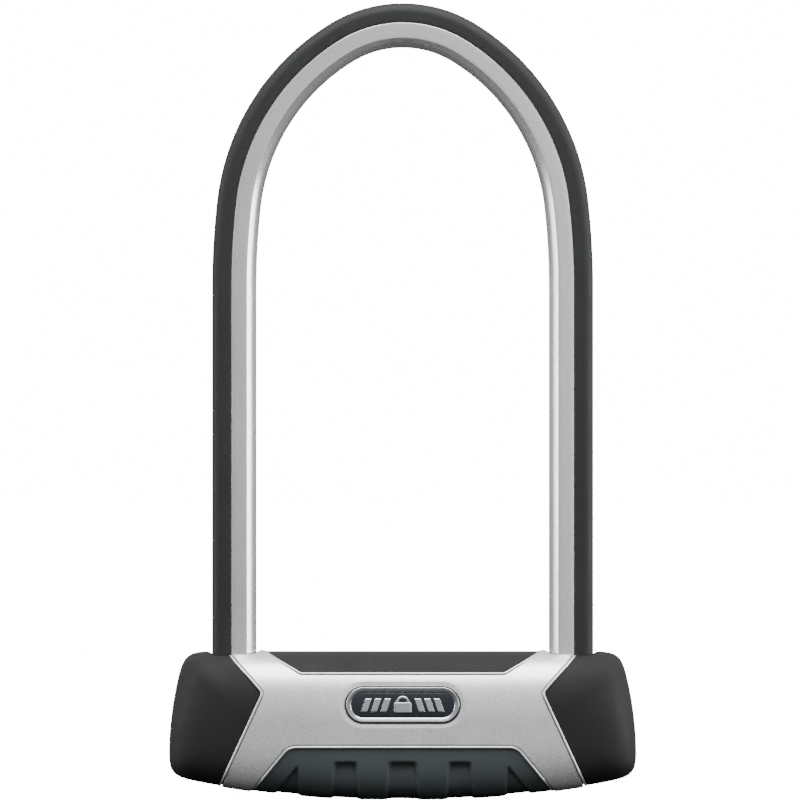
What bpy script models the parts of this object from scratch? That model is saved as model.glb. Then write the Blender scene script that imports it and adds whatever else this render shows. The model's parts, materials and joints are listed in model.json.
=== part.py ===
"""U lock: a bent square-bar shackle that double-bolts into a cased crossbar with a disc-detainer cylinder.

Frame: metres, +X to the right, +Z up the shackle, the face with the badge looks along -Y.
The origin is the middle of the foot that the lock stands on. Rest pose: shackle home, lock open.
"""
import math

import bmesh
import bpy
from mathutils import Matrix, Vector

MM = 0.001
GAP = 0.3 * MM                 # clearance between neighbouring pieces

# ---- shackle ---------------------------------------------------------------------------------
LEG_X = 63.2 * MM              # leg centre line from the middle plane
BAR_HALF = 6.5 * MM            # half of the 13 mm square bar
BAR_CORNER = 2.0 * MM
COAT_HALF = 8.3 * MM           # half width over the two-colour sleeves
COAT_CORNER = 4.0 * MM
COAT_WALL = 1.5 * MM
APEX_Z = 290.3 * MM            # centre line at the top of the arch
CROWN_RADIUS = 44.0 * MM
CROWN_ANGLE = math.radians(31.4)
SHOULDER_RADIUS = 81.4 * MM
SHOULDER_ANGLE = math.radians(52.0)
FOOT_Z = 17.0 * MM             # tip of the bare foot
COAT_Z = 49.6 * MM             # lower end of the sleeves
ARC_STEPS = {"crown": 7, "shoulder": 9, "flare": 2}
NOTCH_DEPTH = 5.3 * MM

# ---- crossbar envelope -----------------------------------------------------------------------
BODY_TOP = 55.7 * MM
BODY_SAG = -0.6 * MM           # bottom arc at the middle, before the foot is cut flat at Z = 0
BOTTOM_RADIUS = 416.0 * MM
BODY_WIDTH = 87.7 * MM         # half width where it is widest
WIDEST_Z = 16.0 * MM
SIDE_TAPER = 3.9               # metres of narrowing per square metre of height
BODY_DEPTH = 20.5 * MM         # half depth
END_LENGTH = 28.0 * MM         # how far the end rounding reaches in
CORNER_POWER = 8.0             # superellipse power of the front outline's corners
TOP_POWER = 2.6                # crowned top of the section
BOTTOM_POWER = 4.5             # squarer bottom of the section
SKIN = 2.3 * MM
COVER_RAISE = 0.6 * MM         # the silver covers stand proud of the black pieces
GRIP_WALL = 4.2 * MM

# outlines of the front pieces: |x|, z of the corners on the right-hand side
STRIP_TOP = (50.8 * MM, 55.6 * MM)
STRIP_BOTTOM = (38.0 * MM, 47.6 * MM)
CAP_TOP = (64.6 * MM, 53.5 * MM)
CAP_WAIST = (52.9 * MM, 40.0 * MM)
CAP_BOTTOM = (68.8 * MM, 5.6 * MM)
GRIP_BOTTOM = (55.65 * MM, 3.5 * MM)
GRIP_TOP = (42.5 * MM, 19.4 * MM)
GRIP_CORNER = 5.5 * MM
FLUTE_X = (-43.6 * MM, -21.4 * MM, 0.0, 21.4 * MM, 43.6 * MM)
FLUTE_HALF = 6.2 * MM
FLUTE_TOP = 14.0 * MM
FLUTE_DEPTH = 1.9 * MM
FLUTE_START = 12.0 * MM        # the flutes stop this far from the middle plane, beside the foot
FLUTE_LEAN = 4.2 * MM          # the end flutes' outer walls lean in along the silver edge

# ---- badge -----------------------------------------------------------------------------------
BADGE_Z = 35.2 * MM
BADGE_HALF = 21.75 * MM
BADGE_RADIUS = 7.05 * MM
BADGE_RIM = 1.9 * MM

# ---- steel case and what it holds ------------------------------------------------------------
CASE_X = 75.0 * MM
CASE_Y = 14.0 * MM
CASE_LOW, CASE_HIGH = 10.5 * MM, 48.5 * MM
CASE_WALL = 2.8 * MM
CASE_CORNER = 6.0 * MM
BLOCK_FLOOR = CASE_LOW + CASE_WALL + 0.4 * MM
SHELF_Z = 36.6 * MM            # top of the socket blocks' inner arms, under the bolts
BOLT_LOW, BOLT_HIGH = 37.0 * MM, 44.0 * MM
BOLT_HALF = 6.0 * MM
BOLT_TIP = 56.3 * MM
BOLT_THROW = 5.0 * MM
PIN_START = 3.3 * MM           # cam pins from the axis, unlocked
PIN_RADIUS = 1.5 * MM

# ---- lock cylinder ---------------------------------------------------------------------------
HOUSING_RADIUS = 10.8 * MM
HOUSING_BORE = 8.5 * MM
HOUSING_LOW, HOUSING_HIGH = 2.3 * MM, 32.2 * MM
ROTOR_RADIUS = 8.2 * MM
ROTOR_LOW, ROTOR_HIGH = 10.5 * MM, 31.2 * MM
ROTOR_BORE = 6.6 * MM
BORE_ROOF = 29.2 * MM
DISC_RADIUS = 6.3 * MM
DISC_THICK = 1.6 * MM
DISC_START = 12.7 * MM
DISC_PITCH = 3.0 * MM
DISC_COUNT = 5
KEYWAY_HALF_X, KEYWAY_HALF_Y = 4.6 * MM, 1.75 * MM
CAM_RADIUS = 10.9 * MM
CAM_LOW, CAM_HIGH = 34.2 * MM, 36.6 * MM
QUARTER_TURN = math.pi / 2
FLAP_Y, FLAP_Z = 3.5 * MM, 4.4 * MM    # hinge line of the keyhole flap

COLOURS = {                    # base colour, metallic, roughness
    "coat_black": ((0.030, 0.032, 0.034), 0.0, 0.45),
    "coat_silver": ((0.46, 0.47, 0.48), 0.55, 0.35),
    "hardened_steel": ((0.42, 0.42, 0.41), 1.0, 0.38),
    "case_steel": ((0.30, 0.31, 0.32), 1.0, 0.45),
    "cover_silver": ((0.50, 0.51, 0.52), 0.45, 0.38),
    "cap_black": ((0.022, 0.022, 0.023), 0.0, 0.42),
    "grip_rubber": ((0.055, 0.064, 0.064), 0.0, 0.70),
    "seal_rubber": ((0.020, 0.020, 0.020), 0.0, 0.80),
    "chrome": ((0.60, 0.61, 0.62), 1.0, 0.15),
    "badge_blue": ((0.030, 0.042, 0.060), 0.0, 0.35),
    "nylon": ((0.045, 0.045, 0.047), 0.0, 0.55),
    "brass": ((0.62, 0.46, 0.20), 1.0, 0.30),
    "spring_steel": ((0.40, 0.40, 0.40), 1.0, 0.30),
    "zinc": ((0.48, 0.48, 0.49), 1.0, 0.35),
}

for old in list(bpy.data.objects):
    bpy.data.objects.remove(old)

PARTS = bpy.data.collections.new("u_lock")
CUTTERS = bpy.data.collections.new("cutters")
for group in (PARTS, CUTTERS):
    bpy.context.scene.collection.children.link(group)


# ---- helpers ---------------------------------------------------------------------------------
def material(slot):
    """The Principled material of one finish, made once."""
    if slot in bpy.data.materials:
        return bpy.data.materials[slot]
    colour, metallic, roughness = COLOURS[slot]
    made = bpy.data.materials.new(slot)
    made.use_nodes = True
    shader = made.node_tree.nodes["Principled BSDF"]
    shader.inputs["Base Color"].default_value = (*colour, 1.0)
    shader.inputs["Metallic"].default_value = metallic
    shader.inputs["Roughness"].default_value = roughness
    return made


def to_object(name, bm, slot=None):
    """Close a bmesh into an object: a part when it has a material slot, otherwise a cutter."""
    bmesh.ops.recalc_face_normals(bm, faces=bm.faces)
    mesh = bpy.data.meshes.new(name)
    bm.to_mesh(mesh)
    bm.free()
    made = bpy.data.objects.new(name, mesh)
    if slot is None:
        CUTTERS.objects.link(made)
        made.hide_render = True
        made.display_type = "WIRE"
    else:
        PARTS.objects.link(made)
        mesh.materials.append(material(slot))
    return made


def extrude_outline(name, outline, direction, slot=None):
    """A flat closed outline (list of points) extruded along a vector."""
    bm = bmesh.new()
    face = bm.faces.new([bm.verts.new(point) for point in outline])
    swept = bmesh.ops.extrude_face_region(bm, geom=[face])["geom"]
    moved = [item for item in swept if isinstance(item, bmesh.types.BMVert)]
    bmesh.ops.translate(bm, vec=direction, verts=moved)
    return to_object(name, bm, slot)


def box(name, low, high, slot=None):
    """An axis-aligned block between two opposite corners."""
    outline = [(low[0], low[1], low[2]), (high[0], low[1], low[2]),
               (high[0], high[1], low[2]), (low[0], high[1], low[2])]
    return extrude_outline(name, outline, Vector((0, 0, high[2] - low[2])), slot)


def arc(centre, radius, start, end, steps):
    """Points on a circle in a plane, angles in radians, both ends included."""
    span = [start + (end - start) * step / steps for step in range(steps + 1)]
    return [(centre[0] + radius * math.cos(a), centre[1] + radius * math.sin(a)) for a in span]


def rounded_rectangle(half_u, half_v, corner, steps=3):
    """Outline of a centred rectangle with round corners, anticlockwise."""
    points = []
    for turn, (u, v) in enumerate(((1, 1), (-1, 1), (-1, -1), (1, -1))):
        centre = (u * (half_u - corner), v * (half_v - corner))
        points += arc(centre, corner, turn * math.pi / 2, (turn + 1) * math.pi / 2, steps)
    return points


def rod(name, start, end, radius, slot=None, segments=32):
    """A round bar between two points."""
    start, end = Vector(start), Vector(end)
    axis = end - start
    turn = Vector((0, 0, 1)).rotation_difference(axis).to_matrix().to_4x4()
    place = Matrix.Translation((start + end) / 2) @ turn
    bm = bmesh.new()
    bmesh.ops.create_cone(bm, cap_ends=True, segments=segments, radius1=radius, radius2=radius,
                          depth=axis.length, matrix=place)
    return to_object(name, bm, slot)


def upright(name, radius, low, high, slot=None, segments=48):
    """A round bar standing on the lock cylinder's axis."""
    return rod(name, (0, 0, low), (0, 0, high), radius, slot, segments)


def boolean(target, operation, *others):
    """Add one exact Boolean per other object, in order."""
    for other in others:
        change = target.modifiers.new(other.name, "BOOLEAN")
        change.operation = operation
        change.solver = "EXACT"
        change.object = other
    return target


def bevel(target, width, segments=2, angle=30):
    """Round the edges sharper than an angle."""
    change = target.modifiers.new("edge_round", "BEVEL")
    change.width = width
    change.segments = segments
    change.limit_method = "ANGLE"
    change.angle_limit = math.radians(angle)
    return target


def set_origin(target, point):
    """Put the object's origin on its joint axis without moving the mesh."""
    point = Vector(point)
    target.data.transform(Matrix.Translation(-point))
    target.location = point
    return target


# ---- crossbar envelope -----------------------------------------------------------------------
def body_point(side, across, height, depth, inset):
    """A point of the crossbar's skin.

    side is -1 or 1 for the rounded ends and across goes 0 to 1 along them, or side is 0 and across
    goes -1 to 1 along the straight middle. height is -1 at the bottom edge and 1 at the top edge.
    """
    x, z = 0.0, (BODY_TOP + BODY_SAG) / 2
    for _ in range(5):
        width = BODY_WIDTH - SIDE_TAPER * (z - WIDEST_Z) ** 2
        middle = width - END_LENGTH
        x = across * middle if side == 0 else side * (middle + across * (END_LENGTH - inset))
        low = BODY_SAG + x * x / (2 * BOTTOM_RADIUS)
        z = (BODY_TOP + low) / 2 + height * ((BODY_TOP - low) / 2 - inset)
    return (x, depth, z)


def outline_directions():
    """(side, across, height) round the front outline, clockwise from the middle of the top."""
    middle = [-1.0, -0.75, -0.5, -0.25, 0.0, 0.25, 0.5, 0.75, 1.0]
    steps = 14
    turned = []
    for step in range(1, steps):
        angle = math.pi / 2 - math.pi * step / steps
        reach = (abs(math.cos(angle)) ** CORNER_POWER + abs(math.sin(angle)) ** CORNER_POWER)
        reach = reach ** (-1 / CORNER_POWER)
        turned.append((reach * math.cos(angle), reach * math.sin(angle)))
    ring = [(0, u, 1.0) for u in middle]
    ring += [(1, across, height) for across, height in turned]
    ring += [(0, u, -1.0) for u in reversed(middle)]
    ring += [(-1, across, height) for across, height in reversed(turned)]
    return ring


def section_power(height):
    """Superellipse power of the section: crowned above, squarer below."""
    blend = min(max((1 - height) / 2, 0.0), 1.0)
    return TOP_POWER + (BOTTOM_POWER - TOP_POWER) * blend * blend * (3 - 2 * blend)


def envelope(name, inset, slot=None):
    """The crossbar's outer form, or a copy of it shrunk by an inset, lofted through rings along Y."""
    half_depth = BODY_DEPTH - inset
    if slot:
        levels = [0.0, 0.25, 0.42, 0.56, 0.68, 0.78, 0.86, 0.92, 0.96, 0.985, 0.998]
    else:
        levels = [0.0, 0.35, 0.58, 0.76, 0.89, 0.96, 0.995]
    levels = [-level for level in reversed(levels[1:])] + levels
    bm = bmesh.new()
    rings = []
    for level in levels:
        ring = []
        for side, across, height in outline_directions():
            power = section_power(height)
            gauge = (1 - abs(level) ** power) ** (1 / power)
            reach = across * gauge if side else across
            place = body_point(side, reach, height * gauge, level * half_depth, inset)
            ring.append(bm.verts.new(place))
        rings.append(ring)
    count = len(rings[0])
    for near, far in zip(rings, rings[1:]):
        for i in range(count):
            j = (i + 1) % count
            bm.faces.new((near[i], near[j], far[j], far[i]))
    bm.faces.new(rings[0])
    bm.faces.new(list(reversed(rings[-1])))
    return to_object(name, bm, slot)


def mirrored(points):
    """A right-hand outline followed by its mirror image, so it closes across X = 0."""
    return points + [(-x, z) for x, z in reversed(points)]


def front_prism(name, points, low_y, high_y):
    """A cutter: an outline in the front plane run from one depth to another."""
    outline = [(x, low_y, z) for x, z in points]
    return extrude_outline(name, outline, Vector((0, high_y - low_y, 0)))


def on_line(start, end, z):
    """X at a height on the line through two (x, z) points."""
    share = (z - start[1]) / (end[1] - start[1])
    return start[0] + (end[0] - start[0]) * share


ABOVE, BELOW = 60 * MM, -4 * MM        # beyond the body, where the cutters' outlines end
OUTSIDE = 95 * MM
DEEP = 30 * MM


def cover_outline(gap):
    """Half outline of a silver cover: an X whose arms reach the legs and the bottom corners."""
    grip_slope = (GRIP_BOTTOM[0] - GRIP_TOP[0]) / (GRIP_TOP[1] - GRIP_BOTTOM[1])
    points = [(STRIP_BOTTOM[0] - gap, STRIP_BOTTOM[1] - gap),
              (on_line(STRIP_BOTTOM, STRIP_TOP, ABOVE) + gap, ABOVE),
              (on_line(CAP_WAIST, CAP_TOP, ABOVE) - gap, ABOVE),
              (CAP_WAIST[0] - gap, CAP_WAIST[1]),
              (on_line(CAP_WAIST, CAP_BOTTOM, BELOW) - gap, BELOW),
              (GRIP_BOTTOM[0] + grip_slope * (GRIP_BOTTOM[1] - BELOW) + gap, BELOW)]
    return points + grip_shoulder(gap)


def grip_shoulder(gap):
    """The grip's sloped side meeting its level top line through a round corner."""
    slope = math.atan2(GRIP_TOP[1] - GRIP_BOTTOM[1], GRIP_BOTTOM[0] - GRIP_TOP[0])
    run = GRIP_CORNER * math.tan(slope / 2)
    centre = (GRIP_TOP[0] - run, GRIP_TOP[1] - GRIP_CORNER)
    return arc(centre, GRIP_CORNER + gap, math.pi / 2 - slope, math.pi / 2, 4)


def skin(name, slot, raise_by, outline, low_y, high_y):
    """One piece of the crossbar's shell: the skin between two envelopes inside a front outline."""
    piece = envelope(name, -raise_by, slot)
    boolean(piece, "INTERSECT", front_prism(name + "_outline", outline, low_y, high_y))
    boolean(piece, "DIFFERENCE", shell_core)
    return piece


def leg_prism(name, half, corner, low, high):
    """Two square cutters along the legs, joined as one object with two islands."""
    bm = bmesh.new()
    for side in (-1, 1):
        outline = [(side * LEG_X + u, v, low) for u, v in rounded_rectangle(half, half, corner)]
        face = bm.faces.new([bm.verts.new(point) for point in outline])
        swept = bmesh.ops.extrude_face_region(bm, geom=[face])["geom"]
        moved = [item for item in swept if isinstance(item, bmesh.types.BMVert)]
        bmesh.ops.translate(bm, vec=(0, 0, high - low), verts=moved)
    return to_object(name, bm)


# ---- shackle ---------------------------------------------------------------------------------
def sweep_shackle(name, profile, low, slot, tip=None):
    """Run a closed profile up one leg, round the arch's tangent arcs and down the other leg.

    profile lists (outward, y) offsets from the centre line. tip, if given, shrinks the last ring of
    each foot: (scale, length).
    """
    rise = CROWN_ANGLE + SHOULDER_ANGLE
    spread = CROWN_RADIUS * math.sin(CROWN_ANGLE)
    spread += SHOULDER_RADIUS * (math.sin(rise) - math.sin(CROWN_ANGLE))
    flare_radius = (LEG_X - spread) / (1 - math.sin(rise))
    crown = Vector((0, 0, APEX_Z - CROWN_RADIUS))
    step_out = SHOULDER_RADIUS - CROWN_RADIUS
    shoulder = crown - step_out * Vector((math.sin(CROWN_ANGLE), 0, math.cos(CROWN_ANGLE)))
    step_out = flare_radius - SHOULDER_RADIUS
    flare = shoulder - step_out * Vector((math.sin(rise), 0, math.cos(rise)))
    shoulder_angle, flare_angle = SHOULDER_ANGLE, math.pi / 2 - rise

    bm = bmesh.new()
    start = low + (tip[1] if tip else 0)
    ring = [bm.verts.new((LEG_X + outward, y, start)) for outward, y in profile]
    edges = [bm.edges.new((ring[i], ring[(i + 1) % len(ring)])) for i in range(len(ring))]
    first = list(edges)

    def climb(loop, distance):
        swept = bmesh.ops.extrude_edge_only(bm, edges=loop)["geom"]
        verts = [item for item in swept if isinstance(item, bmesh.types.BMVert)]
        bmesh.ops.translate(bm, vec=(0, 0, distance), verts=verts)
        return [item for item in swept if isinstance(item, bmesh.types.BMEdge)], verts

    def turn(loop, centre, angle, steps):
        geometry = loop + list({vert for edge in loop for vert in edge.verts})
        last = bmesh.ops.spin(bm, geom=geometry, cent=centre, axis=(0, -1, 0), dvec=(0, 0, 0),
                              angle=angle, steps=steps, use_duplicate=False)["geom_last"]
        return [item for item in last if isinstance(item, bmesh.types.BMEdge)]

    mirror_x = Vector((-1, 1, 1))
    loop, _ = climb(edges, flare.z - start)
    loop = turn(loop, flare, flare_angle, ARC_STEPS["flare"])
    loop = turn(loop, shoulder, shoulder_angle, ARC_STEPS["shoulder"])
    loop = turn(loop, crown, 2 * CROWN_ANGLE, 2 * ARC_STEPS["crown"])
    loop = turn(loop, shoulder * mirror_x, shoulder_angle, ARC_STEPS["shoulder"])
    loop = turn(loop, flare * mirror_x, flare_angle, ARC_STEPS["flare"])
    loop, _ = climb(loop, start - flare.z)
    for end, side in ((first, 1), (loop, -1)):
        if tip:
            end, verts = climb(end, -tip[1])
            for vert in verts:
                vert.co.x = side * LEG_X + (vert.co.x - side * LEG_X) * tip[0]
                vert.co.y *= tip[0]
        bmesh.ops.edgeloop_fill(bm, edges=end)
    return to_object(name, bm, slot)


def shell_profile(side):
    """C-shaped profile of one sleeve: side 1 for the outer half of the bar, -1 for the inner."""
    outer = rounded_rectangle(COAT_HALF, COAT_HALF, COAT_CORNER, 3)
    inner_half = COAT_HALF - COAT_WALL
    inner = rounded_rectangle(inner_half, inner_half, COAT_CORNER - COAT_WALL, 2)
    keep = [(u, v) for u, v in outer if u > 0]
    split = GAP / 2
    top = sorted([p for p in keep if p[1] > 0], key=lambda p: math.atan2(p[1], p[0]))
    low = sorted([p for p in keep if p[1] < 0], key=lambda p: math.atan2(p[1], p[0]))
    inside = sorted([(u, v) for u, v in inner if u > 0], key=lambda p: -math.atan2(p[1], p[0]))
    points = [(split, -COAT_HALF)] + low + top + [(split, COAT_HALF), (split, inner_half)]
    points += inside + [(split, -inner_half)]
    return [(side * u, v) for u, v in points]


def shackle():
    """The hardened bar with a bolt notch in each foot, and the sleeves over its two halves."""
    bar = sweep_shackle("shackle_bar", rounded_rectangle(BAR_HALF, BAR_HALF, BAR_CORNER), FOOT_Z,
                        "hardened_steel", tip=(0.72, 2.6 * MM))
    for side, name in ((-1, "left"), (1, "right")):
        inner = LEG_X - BAR_HALF
        x_values = sorted((side * (inner - 2 * MM), side * (inner + NOTCH_DEPTH)))
        notch = box("notch_" + name, (x_values[0], -8 * MM, BOLT_LOW - 0.5 * MM),
                    (x_values[1], 8 * MM, BOLT_HIGH + 0.5 * MM))
        boolean(bar, "DIFFERENCE", notch)
    sweep_shackle("shackle_sleeve_outer", shell_profile(1), COAT_Z, "coat_black")
    sweep_shackle("shackle_sleeve_inner", shell_profile(-1), COAT_Z, "coat_silver")


# ---- steel case, sockets and bolt work -------------------------------------------------------
def tube_outline(half_y, low, high, corner):
    """Cross-section of the case in the YZ plane."""
    middle = (low + high) / 2
    return [(y, middle + z) for y, z in rounded_rectangle(half_y, (high - low) / 2, corner, 4)]


def along_x(name, outline, low_x, high_x, slot=None):
    """An outline in the YZ plane run along X."""
    points = [(low_x, y, z) for y, z in outline]
    return extrude_outline(name, points, Vector((high_x - low_x, 0, 0)), slot)


def lock_case():
    """The rounded steel tube that runs through the crossbar, and the plugs pinned in its ends."""
    outer = tube_outline(CASE_Y, CASE_LOW, CASE_HIGH, CASE_CORNER)
    inner = tube_outline(CASE_Y - CASE_WALL, CASE_LOW + CASE_WALL, CASE_HIGH - CASE_WALL,
                         CASE_CORNER - CASE_WALL)
    case = along_x("lock_case", outer, -CASE_X, CASE_X, "case_steel")
    boolean(case, "DIFFERENCE",
            along_x("case_bore", inner, -OUTSIDE, OUTSIDE),
            leg_prism("case_leg_holes", BAR_HALF + 0.5 * MM, BAR_CORNER, 40 * MM, ABOVE),
            upright("case_cylinder_hole", HOUSING_RADIUS + 0.5 * MM, 0, 20 * MM))
    middle_z = (CASE_LOW + CASE_HIGH) / 2
    plug_half_y = CASE_Y - CASE_WALL - GAP
    plug_low, plug_high = CASE_LOW + CASE_WALL + GAP, CASE_HIGH - CASE_WALL - GAP
    for side, name in ((-1, "left"), (1, "right")):
        profile = tube_outline(plug_half_y, plug_low, plug_high, CASE_CORNER - CASE_WALL)
        low_x, high_x = sorted((side * 73.3 * MM, side * 76.4 * MM))
        plug = along_x("end_plug_" + name, profile, low_x, high_x, "case_steel")
        pin_x = side * 74.2 * MM
        hole = rod("plug_pin_hole_" + name, (pin_x, -DEEP, middle_z), (pin_x, DEEP, middle_z),
                   1.2 * MM, segments=20)
        boolean(plug, "DIFFERENCE", hole)
        boolean(case, "DIFFERENCE", hole)
        reach = CASE_Y - 0.2 * MM
        rod("end_plug_pin_" + name, (pin_x, -reach, middle_z), (pin_x, reach, middle_z),
            0.9 * MM, "spring_steel", 20)
        tang_x = side * 11.0 * MM
        hole = rod("cylinder_pin_hole_" + name, (tang_x, -DEEP, 20 * MM), (tang_x, DEEP, 20 * MM),
                   1.5 * MM, segments=20)
        boolean(case, "DIFFERENCE", hole)
        rod("cylinder_pin_" + name, (tang_x, -reach, 20 * MM), (tang_x, reach, 20 * MM),
            1.2 * MM, "spring_steel", 20)


def socket_blocks():
    """Nylon blocks that seat the feet; each has a low inner arm that the bolt slides on."""
    half_y = CASE_Y - CASE_WALL - GAP
    for side, name in ((-1, "left"), (1, "right")):
        outline = [(14 * MM, BLOCK_FLOOR), (72.9 * MM, BLOCK_FLOOR), (72.9 * MM, 45.3 * MM),
                   (55.1 * MM, 45.3 * MM), (55.1 * MM, SHELF_Z), (14 * MM, SHELF_Z)]
        points = [(side * x, -half_y, z) for x, z in outline]
        block = extrude_outline("socket_block_" + name, points, Vector((0, 2 * half_y, 0)), "nylon")
        socket = [(side * LEG_X + u, v, FOOT_Z - 1 * MM)
                  for u, v in rounded_rectangle(BAR_HALF + GAP, BAR_HALF + GAP, BAR_CORNER)]
        well = extrude_outline("leg_well_" + name, socket, Vector((0, 0, 40 * MM)))
        low_x, high_x = sorted((side * 50 * MM, side * 57 * MM))
        window = box("bolt_window_" + name, (low_x, -BOLT_HALF - GAP, SHELF_Z + 0.1 * MM),
                     (high_x, BOLT_HALF + GAP, 44.4 * MM))
        edges = [(y, z) for y, z in tube_outline(half_y, BLOCK_FLOOR - 0.1 * MM,
                                                 CASE_HIGH - CASE_WALL - GAP, 3.0 * MM)]
        fit = along_x("block_fit_" + name, edges, -OUTSIDE, OUTSIDE)
        boolean(block, "INTERSECT", fit)
        boolean(block, "DIFFERENCE", well, window)


def bolt_work():
    """Two bolts in an inverted channel, driven apart by pins in the cam's spiral grooves."""
    carrier = box("bolt_carrier", (-54.8 * MM, -9 * MM, SHELF_Z + GAP),
                  (54.8 * MM, 9 * MM, 45.4 * MM), "case_steel")
    channel = box("carrier_channel", (-OUTSIDE, -BOLT_HALF - GAP, 30 * MM),
                  (OUTSIDE, BOLT_HALF + GAP, BOLT_HIGH + GAP))
    boolean(carrier, "DIFFERENCE", channel)
    for side, name in ((-1, "left"), (1, "right")):
        inner = PIN_START - PIN_RADIUS - 0.2 * MM
        low_x, high_x = sorted((side * inner, side * BOLT_TIP))
        bolt = box("bolt_" + name, (low_x, -BOLT_HALF, BOLT_LOW), (high_x, BOLT_HALF, BOLT_HIGH),
                   "hardened_steel")
        pin_x = side * PIN_START
        pin = rod("bolt_pin_" + name, (pin_x, 0, CAM_LOW + 1.1 * MM), (pin_x, 0, BOLT_LOW + 1 * MM),
                  PIN_RADIUS, segments=24)
        boolean(bolt, "UNION", pin)


# ---- lock cylinder ---------------------------------------------------------------------------
def spiral_groove(name, start_angle):
    """A blind groove whose centre line moves out evenly with angle, so the bolts follow the key."""
    half = PIN_RADIUS + 0.25 * MM
    steps = 12
    rate = BOLT_THROW / QUARTER_TURN
    over = 0.05
    middle = []
    for step in range(steps + 1):
        turned = -over + (QUARTER_TURN + 2 * over) * step / steps
        radius = PIN_START + rate * turned
        middle.append((radius, start_angle - turned, rate))
    left, right = [], []
    for radius, angle, growth in middle:
        out = Vector((math.cos(angle), math.sin(angle)))
        back = Vector((math.sin(angle), -math.cos(angle)))
        tangent = (growth * out + radius * back).normalized()
        normal = Vector((-tangent.y, tangent.x))
        point = radius * out
        left.append(point + half * normal)
        right.append(point - half * normal)
    ends = []
    for (radius, angle, growth), direction in ((middle[-1], 1), (middle[0], -1)):
        out = Vector((math.cos(angle), math.sin(angle)))
        back = Vector((math.sin(angle), -math.cos(angle)))
        tangent = direction * (growth * out + radius * back).normalized()
        facing = math.atan2(tangent.y, tangent.x)
        centre = radius * out
        cap = arc(centre, half, facing + math.pi / 2, facing - math.pi / 2, 6)
        ends.append(cap[1:-1])
    outline = left + [Vector(p) for p in ends[0]] + list(reversed(right))
    outline += [Vector(p) for p in ends[1]]
    points = [(p.x, p.y, CAM_LOW + 0.8 * MM) for p in outline]
    return extrude_outline(name, points, Vector((0, 0, 5 * MM)))


def turned_piece(target):
    """Origin of a piece that turns with the key: on the cylinder's axis."""
    return set_origin(target, (0, 0, ROTOR_LOW))


def cylinder_housing():
    """The fixed barrel, with the groove its sidebar drops into when locked."""
    housing = upright("cylinder_housing", HOUSING_RADIUS, HOUSING_LOW, HOUSING_HIGH, "zinc")
    bore = upright("housing_bore", HOUSING_BORE, 0, 40 * MM)
    groove = box("housing_groove", (-0.9 * MM, 5 * MM, 12.5 * MM), (0.9 * MM, 9.3 * MM, 28 * MM))
    boolean(housing, "DIFFERENCE", bore, groove)
    for name in ("left", "right"):
        boolean(housing, "DIFFERENCE", bpy.data.objects["cylinder_pin_hole_" + name])
    ring = upright("cylinder_seal_ring", HOUSING_RADIUS + 0.45 * MM, 6.2 * MM, 8.0 * MM,
                   "seal_rubber")
    groove_cut = upright("seal_groove_core", 9.6 * MM, 5.7 * MM, 8.5 * MM)
    groove_ring = upright("seal_groove", 12.0 * MM, 5.7 * MM, 8.5 * MM)
    boolean(groove_ring, "DIFFERENCE", groove_cut)
    boolean(housing, "DIFFERENCE", groove_ring)
    boolean(ring, "DIFFERENCE", upright("seal_ring_hole", 9.9 * MM, 5 * MM, 9 * MM))


def key_slot(name):
    """The slot for the key's blade, through everything on the axis below the bore's roof."""
    return box(name, (-3.4 * MM, -1.3 * MM, 9 * MM), (3.4 * MM, 1.3 * MM, BORE_ROOF - 0.2 * MM))


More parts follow.
